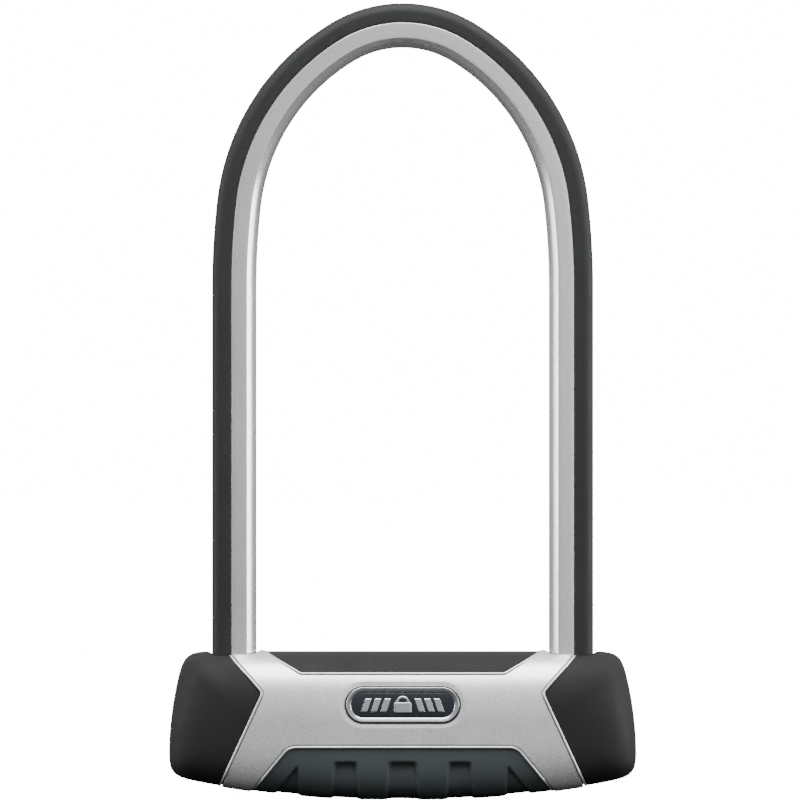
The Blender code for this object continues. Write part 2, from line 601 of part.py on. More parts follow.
def rotor():
    """Everything that turns with the key inside the housing."""
    plug = upright("cylinder_plug", ROTOR_RADIUS, ROTOR_LOW, ROTOR_HIGH, "brass")
    neck = upright("plug_neck", 6.0 * MM, ROTOR_HIGH - 1 * MM, 33.9 * MM)
    clip_groove = upright("clip_groove", 12 * MM, 32.3 * MM, 33.4 * MM)
    boolean(clip_groove, "DIFFERENCE", upright("clip_groove_core", 5.2 * MM, 32 * MM, 34 * MM))
    drive = box("drive_hole", (-3.2 * MM, -3.2 * MM, 25 * MM), (3.2 * MM, 3.2 * MM, 40 * MM))
    side_slot = box("sidebar_slot", (4 * MM, -0.9 * MM, 12.2 * MM), (10 * MM, 0.9 * MM, 28.4 * MM))
    boolean(plug, "UNION", neck)
    boolean(plug, "DIFFERENCE", clip_groove, upright("plug_bore", ROTOR_BORE, 0, BORE_ROOF),
            side_slot, drive)
    turned_piece(plug)

    slot = key_slot("disc_key_slot")
    gate = box("disc_gate", (5.2 * MM, -1.0 * MM, 5 * MM), (9 * MM, 1.0 * MM, 40 * MM))
    guard = upright("drill_guard_disc", DISC_RADIUS, 10.8 * MM, 12.4 * MM, "hardened_steel", 32)
    boolean(guard, "DIFFERENCE", slot)
    turned_piece(guard)
    for number in range(DISC_COUNT):
        low = DISC_START + number * DISC_PITCH
        disc = upright("detainer_disc_%d" % (number + 1), DISC_RADIUS, low, low + DISC_THICK,
                       "brass", 32)
        boolean(disc, "DIFFERENCE", slot, gate)
        turned_piece(disc)
        if number < DISC_COUNT - 1:
            low += DISC_THICK + GAP
            spacer = upright("disc_spacer_%d" % (number + 1), 5.0 * MM, low, low + 0.8 * MM,
                             "spring_steel", 32)
            boolean(spacer, "DIFFERENCE", slot)
            turned_piece(spacer)
    washer_low = DISC_START + DISC_COUNT * DISC_PITCH - DISC_THICK + 0.2 * MM
    washer = upright("stack_washer", 5.0 * MM, washer_low, BORE_ROOF - GAP, "spring_steel", 32)
    boolean(washer, "DIFFERENCE", box("washer_hole", (-3.5 * MM, -3.5 * MM, 20 * MM),
                                      (3.5 * MM, 3.5 * MM, 40 * MM)))
    turned_piece(washer)
    sidebar = box("sidebar", (5.5 * MM, -0.6 * MM, 12.9 * MM), (8.1 * MM, 0.6 * MM, 27.6 * MM),
                  "hardened_steel")
    turned_piece(sidebar)

    cam = upright("drive_cam", CAM_RADIUS, CAM_LOW, CAM_HIGH, "hardened_steel")
    boss = box("cam_boss", (-2.9 * MM, -2.9 * MM, 29.6 * MM), (2.9 * MM, 2.9 * MM, CAM_LOW + 0.4 * MM))
    boolean(cam, "UNION", boss)
    boolean(cam, "DIFFERENCE", spiral_groove("cam_groove_right", 0.0),
            spiral_groove("cam_groove_left", math.pi))
    turned_piece(cam)
    clip = upright("retaining_clip", 9.6 * MM, 32.6 * MM, 33.1 * MM, "spring_steel", 32)
    clip_hole = upright("clip_hole", 5.5 * MM, 30 * MM, 35 * MM, segments=32)
    mouth = box("clip_mouth", (-4.4 * MM, -12 * MM, 30 * MM), (4.4 * MM, 0, 35 * MM))
    boolean(clip, "DIFFERENCE", clip_hole, mouth)
    turned_piece(clip)


def plug_face():
    """The rotor's front: keyhole, spring flap behind it, and the pin they turn on."""
    cap = upright("plug_cap", ROTOR_RADIUS, 1.0 * MM, 10.2 * MM, "chrome")
    chamber = upright("flap_chamber", 7.0 * MM, 2.4 * MM, 20 * MM)
    keyhole = box("keyhole", (-KEYWAY_HALF_X, -KEYWAY_HALF_Y, 0), (KEYWAY_HALF_X, KEYWAY_HALF_Y, 5 * MM))
    pin_hole = rod("flap_pin_hole", (-10 * MM, FLAP_Y, FLAP_Z), (10 * MM, FLAP_Y, FLAP_Z), 0.9 * MM,
                   segments=20)
    boolean(cap, "DIFFERENCE", chamber, keyhole, pin_hole)
    turned_piece(cap)
    pin = rod("flap_pin", (-6.9 * MM, FLAP_Y, FLAP_Z), (6.9 * MM, FLAP_Y, FLAP_Z), 0.6 * MM,
              "spring_steel", 20)
    turned_piece(pin)

    flap = box("keyhole_flap", (-5.2 * MM, -2.0 * MM, 2.75 * MM), (5.2 * MM, FLAP_Y, 3.55 * MM),
               "zinc")
    for side, name in ((-1, "left"), (1, "right")):
        low_x, high_x = sorted((side * 2.6 * MM, side * 4.9 * MM))
        knuckle = rod("knuckle_" + name, (low_x, FLAP_Y, FLAP_Z), (high_x, FLAP_Y, FLAP_Z),
                      1.35 * MM, segments=24)
        foot = box("knuckle_foot_" + name, (low_x, FLAP_Y - 1.35 * MM, 2.9 * MM),
                   (high_x, FLAP_Y + 1.0 * MM, FLAP_Z))
        boolean(flap, "UNION", knuckle, foot)
    room = box("spring_room", (-2.35 * MM, 1.85 * MM, 2 * MM), (2.35 * MM, 8 * MM, 8 * MM))
    boolean(flap, "DIFFERENCE", pin_hole, room)
    set_origin(flap, (0, FLAP_Y, FLAP_Z))
    flap_spring()


def flap_spring():
    """Torsion spring on the flap's pin: a wire coil with two short legs."""
    wire, radius, turns = 0.22 * MM, 1.22 * MM, 5
    steps = 14
    path = bpy.data.curves.new("flap_spring_path", "CURVE")
    path.dimensions = "3D"
    path.bevel_depth = wire
    path.bevel_resolution = 1
    path.use_fill_caps = True
    route = [Vector((-1.9 * MM, FLAP_Y + 1.9 * MM, FLAP_Z + radius))]
    for step in range(turns * steps + 1):
        angle = math.pi / 2 - 2 * math.pi * step / steps
        x = (-1.9 + 3.8 * step / (turns * steps)) * MM
        route.append(Vector((x, FLAP_Y + radius * math.cos(angle), FLAP_Z + radius * math.sin(angle))))
    route.append(Vector((1.9 * MM, FLAP_Y - 1.9 * MM, FLAP_Z + radius)))
    line = path.splines.new("POLY")
    line.points.add(len(route) - 1)
    for point, place in zip(line.points, route):
        point.co = (*place, 1.0)
    source = bpy.data.objects.new("flap_spring_path", path)
    bpy.context.scene.collection.objects.link(source)
    bpy.context.view_layer.update()
    graph = bpy.context.evaluated_depsgraph_get()
    mesh = bpy.data.meshes.new_from_object(source.evaluated_get(graph))
    bpy.data.objects.remove(source)
    bm = bmesh.new()
    bm.from_mesh(mesh)
    bmesh.ops.remove_doubles(bm, verts=bm.verts, dist=0.01 * MM)
    set_origin(to_object("flap_spring", bm, "spring_steel"), (0, FLAP_Y, FLAP_Z))


# ---- crossbar shell --------------------------------------------------------------------------
def leg_seals():
    """Square rubber rings between the case and the shell, one round each leg."""
    for side, name in ((-1, "left"), (1, "right")):
        outline = [(side * LEG_X + u, v, CASE_HIGH + GAP)
                   for u, v in rounded_rectangle(10.0 * MM, 9.9 * MM, 5.0 * MM)]
        seal = extrude_outline("socket_seal_" + name, outline, Vector((0, 0, 1.9 * MM)), "seal_rubber")
        boolean(seal, "DIFFERENCE", leg_clearance)


def crossbar_shell():
    """Silver covers front and back, black end caps and top strip, and the fluted grip below."""
    gap = GAP / 2
    hole = upright("shell_cylinder_hole", HOUSING_RADIUS + 0.5 * MM, -5 * MM, 20 * MM)
    cover = mirrored(cover_outline(gap))
    for name, low_y, high_y in (("front_cover", -DEEP, -gap), ("rear_cover", gap, DEEP)):
        boolean(skin(name, "cover_silver", COVER_RAISE, cover, low_y, high_y), "DIFFERENCE",
                leg_clearance)
    top = [(STRIP_BOTTOM[0] - gap, STRIP_BOTTOM[1] + gap),
           (on_line(STRIP_BOTTOM, STRIP_TOP, ABOVE) - gap, ABOVE)]
    skin("top_bridge", "cap_black", 0, mirrored(top), -DEEP, DEEP)
    for side, name in ((-1, "left"), (1, "right")):
        points = [(side * on_line(CAP_WAIST, CAP_TOP, ABOVE) + side * gap, ABOVE),
                  (side * (CAP_WAIST[0] + gap), CAP_WAIST[1]),
                  (side * on_line(CAP_WAIST, CAP_BOTTOM, BELOW) + side * gap, BELOW),
                  (side * OUTSIDE, BELOW), (side * OUTSIDE, ABOVE)]
        boolean(skin("end_cap_" + name, "cap_black", 0, points, -DEEP, DEEP), "DIFFERENCE",
                leg_clearance)
    grip_pad(hole)


def grip_pad(hole):
    """The thick lower pad: flat-footed, open for the cylinder, with flutes front and back."""
    slope = (GRIP_BOTTOM[0] - GRIP_TOP[0]) / (GRIP_TOP[1] - GRIP_BOTTOM[1])
    half = [(GRIP_BOTTOM[0] + slope * (GRIP_BOTTOM[1] - BELOW) - GAP / 2, BELOW)]
    half += grip_shoulder(-GAP / 2)
    pad = envelope("grip_pad", 0, "grip_rubber")
    boolean(pad, "INTERSECT", front_prism("grip_outline", mirrored(half), -DEEP, DEEP))
    boolean(pad, "DIFFERENCE", box("foot_plane", (-OUTSIDE, -DEEP, -20 * MM), (OUTSIDE, DEEP, 0)),
            envelope("grip_core", GRIP_WALL),
            along_x("grip_case_space", tube_outline(CASE_Y + GAP, CASE_LOW - GAP, CASE_HIGH,
                                                    CASE_CORNER + GAP), -OUTSIDE, OUTSIDE),
            hole)
    bm = bmesh.new()
    for x in FLUTE_X:
        left = x - (0.8 if x < -30 * MM else 0.9) * FLUTE_HALF
        right = x + (0.8 if x > 30 * MM else 0.9) * FLUTE_HALF
        outline = [(x - FLUTE_HALF, BELOW), (x + FLUTE_HALF, BELOW), (right, FLUTE_TOP), (left, FLUTE_TOP)]
        if x < -30 * MM:
            outline[3] = (left + FLUTE_LEAN, FLUTE_TOP - 1.2 * MM)
        if x > 30 * MM:
            outline[2] = (right - FLUTE_LEAN, FLUTE_TOP - 1.2 * MM)
        for sign in (-1, 1):
            face = bm.faces.new([bm.verts.new((u, sign * FLUTE_START, v)) for u, v in outline])
            swept = bmesh.ops.extrude_face_region(bm, geom=[face])["geom"]
            moved = [item for item in swept if isinstance(item, bmesh.types.BMVert)]
            bmesh.ops.translate(bm, vec=(0, sign * DEEP, 0), verts=moved)
    flutes = to_object("grip_flutes", bm)
    boolean(flutes, "DIFFERENCE", envelope("flute_floor", FLUTE_DEPTH))
    boolean(pad, "DIFFERENCE", flutes)


# ---- badge -----------------------------------------------------------------------------------
def stadium(half, radius, depth):
    """A long round-ended outline in the front plane."""
    right = arc((half - radius, BADGE_Z), radius, -math.pi / 2, math.pi / 2, 12)
    left = arc((radius - half, BADGE_Z), radius, math.pi / 2, 3 * math.pi / 2, 12)
    return [(x, depth, z) for x, z in right + left]


def badge():
    """A rim and a plate let into the front cover, with a plain padlock sign between slanted bars."""
    seat = -19.8 * MM
    pocket = extrude_outline("badge_pocket", stadium(BADGE_HALF + GAP, BADGE_RADIUS + GAP, seat),
                             Vector((0, -10 * MM, 0)))
    boolean(bpy.data.objects["front_cover"], "DIFFERENCE", pocket)
    rim = extrude_outline("badge_rim", stadium(BADGE_HALF, BADGE_RADIUS, seat - GAP),
                          Vector((0, -1.9 * MM, 0)), "chrome")
    inner = extrude_outline("badge_rim_hole",
                            stadium(BADGE_HALF - BADGE_RIM, BADGE_RADIUS - BADGE_RIM, 0),
                            Vector((0, -30 * MM, 0)))
    boolean(rim, "DIFFERENCE", inner)
    clear = BADGE_RIM + GAP
    plate_front = seat - 1.3 * MM
    extrude_outline("badge_plate", stadium(BADGE_HALF - clear, BADGE_RADIUS - clear, seat - GAP),
                    Vector((0, -1.0 * MM, 0)), "badge_blue")
    depth = plate_front - GAP
    thick = Vector((0, -0.3 * MM, 0))
    low, high = BADGE_Z - 2.9 * MM, BADGE_Z + 0.7 * MM
    emblem = extrude_outline("badge_emblem", [(-2.9 * MM, depth, low), (2.9 * MM, depth, low),
                                              (2.9 * MM, depth, high), (-2.9 * MM, depth, high)],
                             thick, "chrome")
    bow = arc((0, high), 2.2 * MM, 0, math.pi, 12) + arc((0, high), 1.3 * MM, math.pi, 0, 12)
    loop = extrude_outline("emblem_bow", [(x, depth, z - 0.2 * MM) for x, z in bow], thick)
    bars = [box("emblem_link", (-14.5 * MM, depth - 0.3 * MM, BADGE_Z - 0.4 * MM),
                (14.5 * MM, depth, BADGE_Z))]
    for side in (-1, 1):
        for step in range(3):
            middle, lean = side * (6.4 + 3.6 * step) * MM, side * 0.9 * MM
            foot, top = BADGE_Z - 2.8 * MM, BADGE_Z + 2.5 * MM
            outline = [(middle + lean - 1.25 * MM, depth, foot), (middle + lean + 1.25 * MM, depth, foot),
                       (middle - lean + 1.25 * MM, depth, top), (middle - lean - 1.25 * MM, depth, top)]
            bars.append(extrude_outline(f"emblem_bar_{side}_{step}", outline, thick))
    boolean(emblem, "UNION", loop, *bars)


shell_core = envelope("shell_core", SKIN)
leg_clearance = leg_prism("leg_clearance", COAT_HALF + 0.4 * MM, COAT_CORNER, 40 * MM, 70 * MM)
shackle()
lock_case()
socket_blocks()
bolt_work()
cylinder_housing()
rotor()
plug_face()
leg_seals()
crossbar_shell()
badge()
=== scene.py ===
"""Looks of a bicycle U lock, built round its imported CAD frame.

The file is laid out as a Blender add-on and is run as a script. Lengths are metres, +Z runs up the
shackle, +X to the right along the crossbar, and the face with the badge looks along -Y.
"""

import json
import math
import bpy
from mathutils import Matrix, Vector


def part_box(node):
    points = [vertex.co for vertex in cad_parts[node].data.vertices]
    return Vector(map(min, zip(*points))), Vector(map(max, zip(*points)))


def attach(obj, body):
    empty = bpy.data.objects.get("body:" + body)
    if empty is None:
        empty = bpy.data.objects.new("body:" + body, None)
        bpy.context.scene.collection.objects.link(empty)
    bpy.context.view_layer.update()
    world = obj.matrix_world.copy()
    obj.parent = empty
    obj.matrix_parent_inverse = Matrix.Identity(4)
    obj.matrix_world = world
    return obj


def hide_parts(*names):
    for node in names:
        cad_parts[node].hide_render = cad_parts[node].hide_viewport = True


bl_info = {
    "name": "U Lock Looks",
    "version": (1, 0, 0),
    "blender": (4, 5, 0),
    "location": "3D View > Sidebar > U Lock",
    "description": "Fine surfaces, finishes and studio stage for a bicycle U lock",
    "category": "Add Mesh",
}

import bmesh
import bpy
import numpy as np
from bpy.props import FloatProperty, FloatVectorProperty, PointerProperty, StringProperty
from mathutils import Vector

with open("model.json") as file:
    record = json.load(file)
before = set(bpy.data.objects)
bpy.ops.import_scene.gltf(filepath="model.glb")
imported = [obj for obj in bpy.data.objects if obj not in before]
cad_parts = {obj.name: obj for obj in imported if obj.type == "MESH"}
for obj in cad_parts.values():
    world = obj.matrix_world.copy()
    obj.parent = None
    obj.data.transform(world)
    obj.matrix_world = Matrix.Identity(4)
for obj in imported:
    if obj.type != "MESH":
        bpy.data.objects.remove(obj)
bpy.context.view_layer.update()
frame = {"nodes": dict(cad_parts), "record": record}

MM = 0.001

# ---- sizes read from the frame ---------------------------------------------------------------
sleeve_low, sleeve_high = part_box("shackle_sleeve_outer")
badge_low, badge_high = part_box("badge_rim")

COAT_HALF = (sleeve_high.y - sleeve_low.y) / 2      # half width over the shackle's coat
LEG_X = sleeve_high.x - COAT_HALF                   # leg centre line from the middle plane
APEX_Z = sleeve_high.z - COAT_HALF                  # shackle centre line at the top of the arch
COAT_Z = sleeve_low.z                               # where the coat ends above the bare foot
BODY_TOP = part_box("end_cap_right")[1].z
BADGE_Z = (badge_low.z + badge_high.z) / 2 + 0.4 * MM   # a little above the frame's badge
BADGE_HALF = (badge_high.x - badge_low.x) / 2
BADGE_RADIUS = (badge_high.z - badge_low.z) / 2

# ---- the crossbar's form, the same rule as the CAD shell's with squarer ends ------------------
BODY_SAG = -0.6 * MM           # bottom arc at the middle, before the foot is flat at Z = 0
BOTTOM_RADIUS = 416.0 * MM
BODY_WIDTH = 87.7 * MM         # half width at the widest height
WIDEST_Z = 16.0 * MM
SIDE_TAPER = 3.9               # metres of narrowing per square metre of height
BODY_DEPTH = 20.5 * MM
END = 28.0 * MM                # how far the end rounding reaches in
CORNER = 10.0                  # superellipse power of the front outline's corners
TOP_POWER, LOW_POWER = 2.6, 4.5

# corners of the front pieces' outlines, (x, z) on the right-hand side
STRIP_LINE = [(0.0, 47.6 * MM), (38.0 * MM, 47.6 * MM), (57.0 * MM, 59.0 * MM)]
CAP_LINE = [(70.7 * MM, 60.5 * MM), (52.9 * MM, 40.0 * MM), (73.0 * MM, -3.5 * MM)]
GRIP_LINE = [(0.0, 19.4 * MM), (42.5 * MM, 19.4 * MM), (61.8 * MM, -3.9 * MM)]
HOLE_HALF = 8.75 * MM          # leg hole in the shell
HOLE_CORNER = 4.3 * MM
GRIP_TURN = (37.0 * MM, 42.0 * MM)      # where the grip's outline turns down

# settings of the numeric work
ROUNDS = 8                     # repeats until a height and a width agree
FINE_MERGE = 1e-7              # merge distance of pieces with very narrow cells
ROUTE_END = np.s_[-140::6, 0]  # every 0.6 mm of the last 14 mm of a route, in X


# ---- settings --------------------------------------------------------------------------------
def length(name, description, mm):
    """A length setting, given in millimetres."""
    return FloatProperty(name=name, description=description, default=mm * MM, unit="LENGTH")


def colour(name, description, value):
    """A colour setting, as sRGB hex."""
    return StringProperty(name=name, description=description, default=value)


def watts(name, description, value):
    """The power of a light."""
    return FloatProperty(name=name, description=description, default=value, min=0.0, unit="POWER")


def strength(name, description, value, most=100.0):
    """A plain level of brightness."""
    return FloatProperty(name=name, description=description, default=value, min=0.0, max=most)


class ShackleSettings(bpy.types.PropertyGroup):
    """Sizes of the coated shackle."""
    corner: length("Coat corner", "Corner radius of the coated bar", 3.6)
    facet: length("Silver facet", "Width of the bright facet on the silver", 1.5)
    split: length("Split", "Groove's place outside the bar's centre line", 1.05)
    groove: length("Coat groove", "Gap between the black and silver halves", 0.30)
    wall: length("Coat wall", "Thickness of the coat", 1.5)


class CrossbarSettings(bpy.types.PropertyGroup):
    """Sizes of the crossbar's shell pieces."""
    bead: length("Bead width", "Raised bright edge of the silver covers", 0.86)
    bead_height: length("Bead height", "Top of the bead over the black skin", 0.78)
    groove: length("Groove width", "Groove between a bead and its cover", 0.30)
    cover_raise: length("Cover height", "Silver panel over the black skin", 0.50)
    flute_depth: length("Flute depth", "Depth of the grip's flutes", 1.9)
    wall: length("Shell wall", "Thickness of the moulded shell", 1.4)


class FinishSettings(bpy.types.PropertyGroup):
    """Colours of the finishes."""
    coat_black: colour("Black coat", "Outer half of the shackle", "1c1d1e")
    coat_silver: colour("Silver coat", "Inner half of the shackle", "b9bbbd")
    cover: colour("Cover silver", "Flake paint on the covers", "c2c3c5")
    cap: colour("Cap black", "Moulded ends and top strip", "171718")
    grip: colour("Grip grey", "Soft lower pad", "2e3435")
    badge: colour("Badge plate", "Dark plate inside the badge's rim", "15191f")


class StageSettings(bpy.types.PropertyGroup):
    """Light levels of the studio."""
    overhead: watts("Overhead", "Power of the softbox above", 40.0)
    left: watts("Left side", "Power of the tall softbox on the left", 16.0)
    fill: watts("Front fill", "Power of the low softbox in front", 1.5)
    right: watts("Right side", "Power of the tall softbox on the right", 30.0)
    room: strength("Room", "Strength of the white room's own light", 0.8)
    backdrop: strength("Backdrop", "Brightness of the room as it is seen", 16.0)
    glow: strength("Paper glow", "Light added to the floor as it is seen", 15.0)
    bounce: strength("Bounce", "Share of light the floor gives back", 0.05, most=1.0)
    paper: FloatVectorProperty(name="Paper", description="Colour of the floor", subtype="COLOR",
                               default=(0.9, 0.9, 0.9), min=0.0, max=1.0)


# ---- the crossbar's skin ---------------------------------------------------------------------
def smooth(share):
    """Smooth step from 0 to 1: three times the square less twice the cube."""
    return share * share * (3 - 2 * share)


def unit(vectors):
    """Vectors scaled to length one."""
    return vectors / np.maximum(np.linalg.norm(vectors, axis=-1, keepdims=True), 1e-12)


def width_at(z):
    """Half width at a height: the widest half width less a parabola of the height above it."""
    return BODY_WIDTH - SIDE_TAPER * (z - WIDEST_Z) ** 2


def floor_at(x):
    """Height of the bottom edge: a parabola in X."""
    return BODY_SAG + x * x / (2 * BOTTOM_RADIUS)


def level(x, height):
    """Z of a height share: -1 is the bottom edge and 1 the top edge."""
    low = floor_at(x)
    return (BODY_TOP + low) / 2 + height * (BODY_TOP - low) / 2


def height_share(x, z):
    """Height share of a Z, the inverse of level."""
    low = floor_at(x)
    return (z - (BODY_TOP + low) / 2) / ((BODY_TOP - low) / 2)


def reach_of(x, z):
    """How far into the end rounding a point is: 0 where it begins and 1 at the tip."""
    return (np.abs(x) - width_at(z) + END) / END


def joined(height, reach):
    """Gauge of a front point: height share and reach to the corners' power, added, and the root."""
    return (np.abs(height) ** CORNER + reach ** CORNER) ** (1 / CORNER)


def section_power(height, gauge):
    """Superellipse power of the section, a smooth step from crowned above to squarer below."""
    blend = np.clip((1 - height / np.maximum(gauge, 1e-9)) / 2, 0, 1)
    return TOP_POWER + (LOW_POWER - TOP_POWER) * smooth(blend)


def gauges(x, z):
    """How far a front point is towards the outline: by height, by length, and both joined."""
    height, reach = height_share(x, z), np.maximum(reach_of(x, z), 0)
    return height, reach, joined(height, reach)


def spread(girth):
    """Height share of a girth angle: the superellipse read in polar form, so steps stay even."""
    sine, cosine = np.sin(girth * np.pi / 2), np.cos(girth * np.pi / 2)
    power = np.where(sine >= 0, TOP_POWER, LOW_POWER)
    return sine * (np.abs(sine) ** power + np.abs(cosine) ** power) ** (-1 / power)


def lift_to_skin(x, height, reach, girth):
    """Depth by the superellipse rule: gauge and depth, each to the section's power, make one."""
    gauge = np.minimum(joined(height, reach), 1)
    power = section_power(height, gauge)
    side = -np.sign(np.round(np.cos(girth * np.pi / 2), 12))
    y = side * BODY_DEPTH * np.maximum(1 - gauge ** power, 0) ** (1 / power)
    return np.stack([x, y, level(x, height)], -1)


def skin_point(x, girth):
    """Point of the skin at an X and a girth: 0 front spine, 1 top edge, -1 bottom edge."""
    x, girth = np.broadcast_arrays(np.asarray(x, float), np.asarray(girth, float))
    share = spread(girth)
    z = np.full(x.shape, BODY_TOP / 2)
    for _ in range(ROUNDS):
        reach = np.clip(reach_of(x, z), 0, 1)
        height = share * (1 - reach ** CORNER) ** (1 / CORNER)
        z = level(x, height)
    return lift_to_skin(x, height, reach, girth)


def end_point(reach, girth):
    """Point of the right-hand end at a reach (1 is the tip) and a girth."""
    reach, girth = np.broadcast_arrays(reach, girth)
    full = np.clip(reach, 0, 1)
    height = spread(girth) * (1 - full ** CORNER) ** (1 / CORNER)
    z = np.full(reach.shape, BODY_TOP / 2)
    for _ in range(ROUNDS):
        x = width_at(z) - END + reach * END
        z = level(x, height)
    return lift_to_skin(x, height, full, girth)


def girth_of(x, z):
    """Girth of a point on the front, the inverse of skin_point."""
    height, reach, _ = gauges(x, z)
    ends = np.maximum(1 - np.minimum(reach, 1) ** CORNER, 1e-12) ** (1 / CORNER)
    share = np.clip(height / ends, -1, 1)
    power = np.where(share >= 0, TOP_POWER, LOW_POWER)
    rest = np.maximum(1 - np.abs(share) ** power, 0) ** (1 / power)
    return np.arctan2(share, rest) * 2 / np.pi


def girth_at_depth(x, depth):
    """Girth on the crowned top where the skin is a given distance in front of the middle."""
    z = np.full(np.shape(x), BODY_TOP)
    power = TOP_POWER
    for _ in range(ROUNDS):
        reach = np.clip(reach_of(x, z), 0, 1)
        gauge = (1 - (depth / BODY_DEPTH) ** power) ** (1 / power)
        height = np.maximum(gauge ** CORNER - reach ** CORNER, 0) ** (1 / CORNER)
        power = section_power(height, gauge)
        z = level(x, height)
    return girth_of(x, z)


GIRTHS = np.linspace(-2, 2, 8001)
_section = skin_point(np.zeros_like(GIRTHS), GIRTHS)
_steps = np.linalg.norm(np.diff(_section, axis=0), axis=1)
TAPE = np.concatenate([[0], np.cumsum(_steps)])
TAPE -= np.interp(0, GIRTHS, TAPE)


def tape(girth):
    """Distance round the middle section from the front spine, for a girth."""
    return np.interp(girth, GIRTHS, TAPE)


def girth_from(length):
    """Girth for a distance round the middle section."""
    return np.interp(length, TAPE, GIRTHS)


TOP_TAPE, LOW_TAPE = float(tape(1.0)), float(tape(-1.0))


def skin_normal(points):
    """Outward direction: the slope of the skin's rule, by small differences along each axis."""
    step = 0.02 * MM
    slopes = []
    for axis in range(3):
        sides = []
        for way in (1, -1):
            moved = points.copy()
            moved[..., axis] += way * step
            height, _, gauge = gauges(moved[..., 0], moved[..., 2])
            power = section_power(height, gauge)
            sides.append(gauge ** power + (np.abs(moved[..., 1]) / BODY_DEPTH) ** power)
        slopes.append(sides[0] - sides[1])
    return unit(np.stack(slopes, -1))


def on_skin(x, length, lift):
    """Points at an X and a taped length, raised along the skin's normal."""
    points = skin_point(x, girth_from(length))
    return points + skin_normal(points) * np.asarray(lift)[..., None]


def on_front(x, z, lift):
    """Points of the front at an X and a Z, raised by one lift or by one for each."""
    return on_skin(x, tape(girth_of(x, z)), np.broadcast_to(lift, x.shape))


# ---- outlines on the skin --------------------------------------------------------------------
def rounded_line(corners, radius):
    """A polyline in the front plane with its inner corners turned by arcs of one radius."""
    points = [np.array(corners[0])]
    for before, corner, after in zip(corners, corners[1:], corners[2:]):
        corner = np.array(corner)
        into, out = unit(np.array(before) - corner), unit(np.array(after) - corner)
        half = math.acos(np.clip(into @ out, -1, 1)) / 2
        centre = corner + unit(into + out) * radius / math.sin(half)
        start = corner + into * radius / math.tan(half) - centre
        stop = corner + out * radius / math.tan(half) - centre
        a, b = math.atan2(start[1], start[0]), math.atan2(stop[1], stop[0])
        sweep = (b - a + math.pi) % (2 * math.pi) - math.pi
        angles = a + sweep * np.linspace(0, 1, 25)
        points += list(centre + radius * np.stack([np.cos(angles), np.sin(angles)], -1))
    points.append(np.array(corners[-1]))
    return resample(np.array(points), 0.05 * MM)


def resample(points, spacing):
    """The same route with points an even distance apart."""
    run = np.concatenate([[0], np.cumsum(np.linalg.norm(np.diff(points, axis=0), axis=1))])
    count = max(int(run[-1] / spacing) + 1, 2)
    even = np.linspace(0, run[-1], count)
    return np.stack([np.interp(even, run, column) for column in points.T], -1)


def taped(corners, radius):
    """An outline as (x, taped length), cut off where it reaches the silhouette."""
    line = rounded_line(corners, radius)
    inside = gauges(line[:, 0], line[:, 1])[2] < 1
    first, last = np.argmax(inside), len(inside) - 1 - np.argmax(inside[::-1])
    x, z = line[first:last + 1].T
    route = np.stack([x, tape(girth_of(x, z))], -1)
    ends = [[[x[end], TOP_TAPE if z[end] > BODY_TOP / 2 else LOW_TAPE]] for end in (0, -1)]
    if first > 0:
        route = np.concatenate([ends[0], route])
    if last < len(inside) - 1:
        route = np.concatenate([route, ends[1]])
    return resample(route, 0.1 * MM)


def beside(route, distance):
    """A route moved to its left, or right for a negative distance, and run on past the edge."""
    along = unit(np.gradient(route, axis=0))
    moved = route + np.stack([-along[:, 1], along[:, 0]], -1) * distance
    past = along * 4 * MM
    before = moved[:1] - past[:1] if route[0, 0] > 0 else moved[:0]
    return np.concatenate([before, moved, moved[-1:] + past[-1:]])


def crossing(route, length):
    """X at which a route's last 6 mm reach a taped length."""
    last = route[-60:]
    last = last[np.argsort(last[:, 1])]
    return float(np.interp(length, last[:, 1], last[:, 0]))


def distance_to(points, route):
    """Shortest distance from taped points to a taped route, segment by segment in blocks."""
    flat = points.reshape(-1, 2)
    start, span = route[:-1], np.diff(route, axis=0)
    length2 = np.maximum((span ** 2).sum(1), 1e-18)
    best = np.empty(len(flat))
    block = 4000
    for low in range(0, len(flat), block):
        offset = flat[low:low + block, None, :] - start
        share = np.clip((offset * span).sum(-1) / length2, 0, 1)
        gap = offset - share[..., None] * span
        best[low:low + block] = np.sqrt((gap ** 2).sum(-1)).min(1)
    return best.reshape(points.shape[:-1])


def height_on(route, x):
    """Taped length of a route at each X. It runs one way in X, and may end straight up or down."""
    if route[0, 0] > route[-1, 0]:
        route = route[::-1]
    run = np.maximum.accumulate(route[:, 0]) + 1e-9 * np.arange(len(route))
    return np.interp(x, run, route[:, 1])


STRIP = taped(STRIP_LINE, 1.2 * MM)                 # from the middle out to the top edge
CAP = taped(CAP_LINE, 1.6 * MM)                     # from the top edge round the waist and down
GRIP = taped(GRIP_LINE, 5.5 * MM)                   # from the middle out to the bottom edge


# ---- meshes ----------------------------------------------------------------------------------
def quads(rows, columns, wrap_rows, wrap_columns):
    """Corner numbers of every cell of a grid, as one array."""
    index = np.arange(rows * columns).reshape(rows, columns)
    if wrap_rows:
        index = np.concatenate([index, index[:1]], 0)
    if wrap_columns:
        index = np.concatenate([index, index[:, :1]], 1)
    cells = [index[:-1, :-1], index[1:, :-1], index[1:, 1:], index[:-1, 1:]]
    return np.stack(cells, -1).reshape(-1, 4)


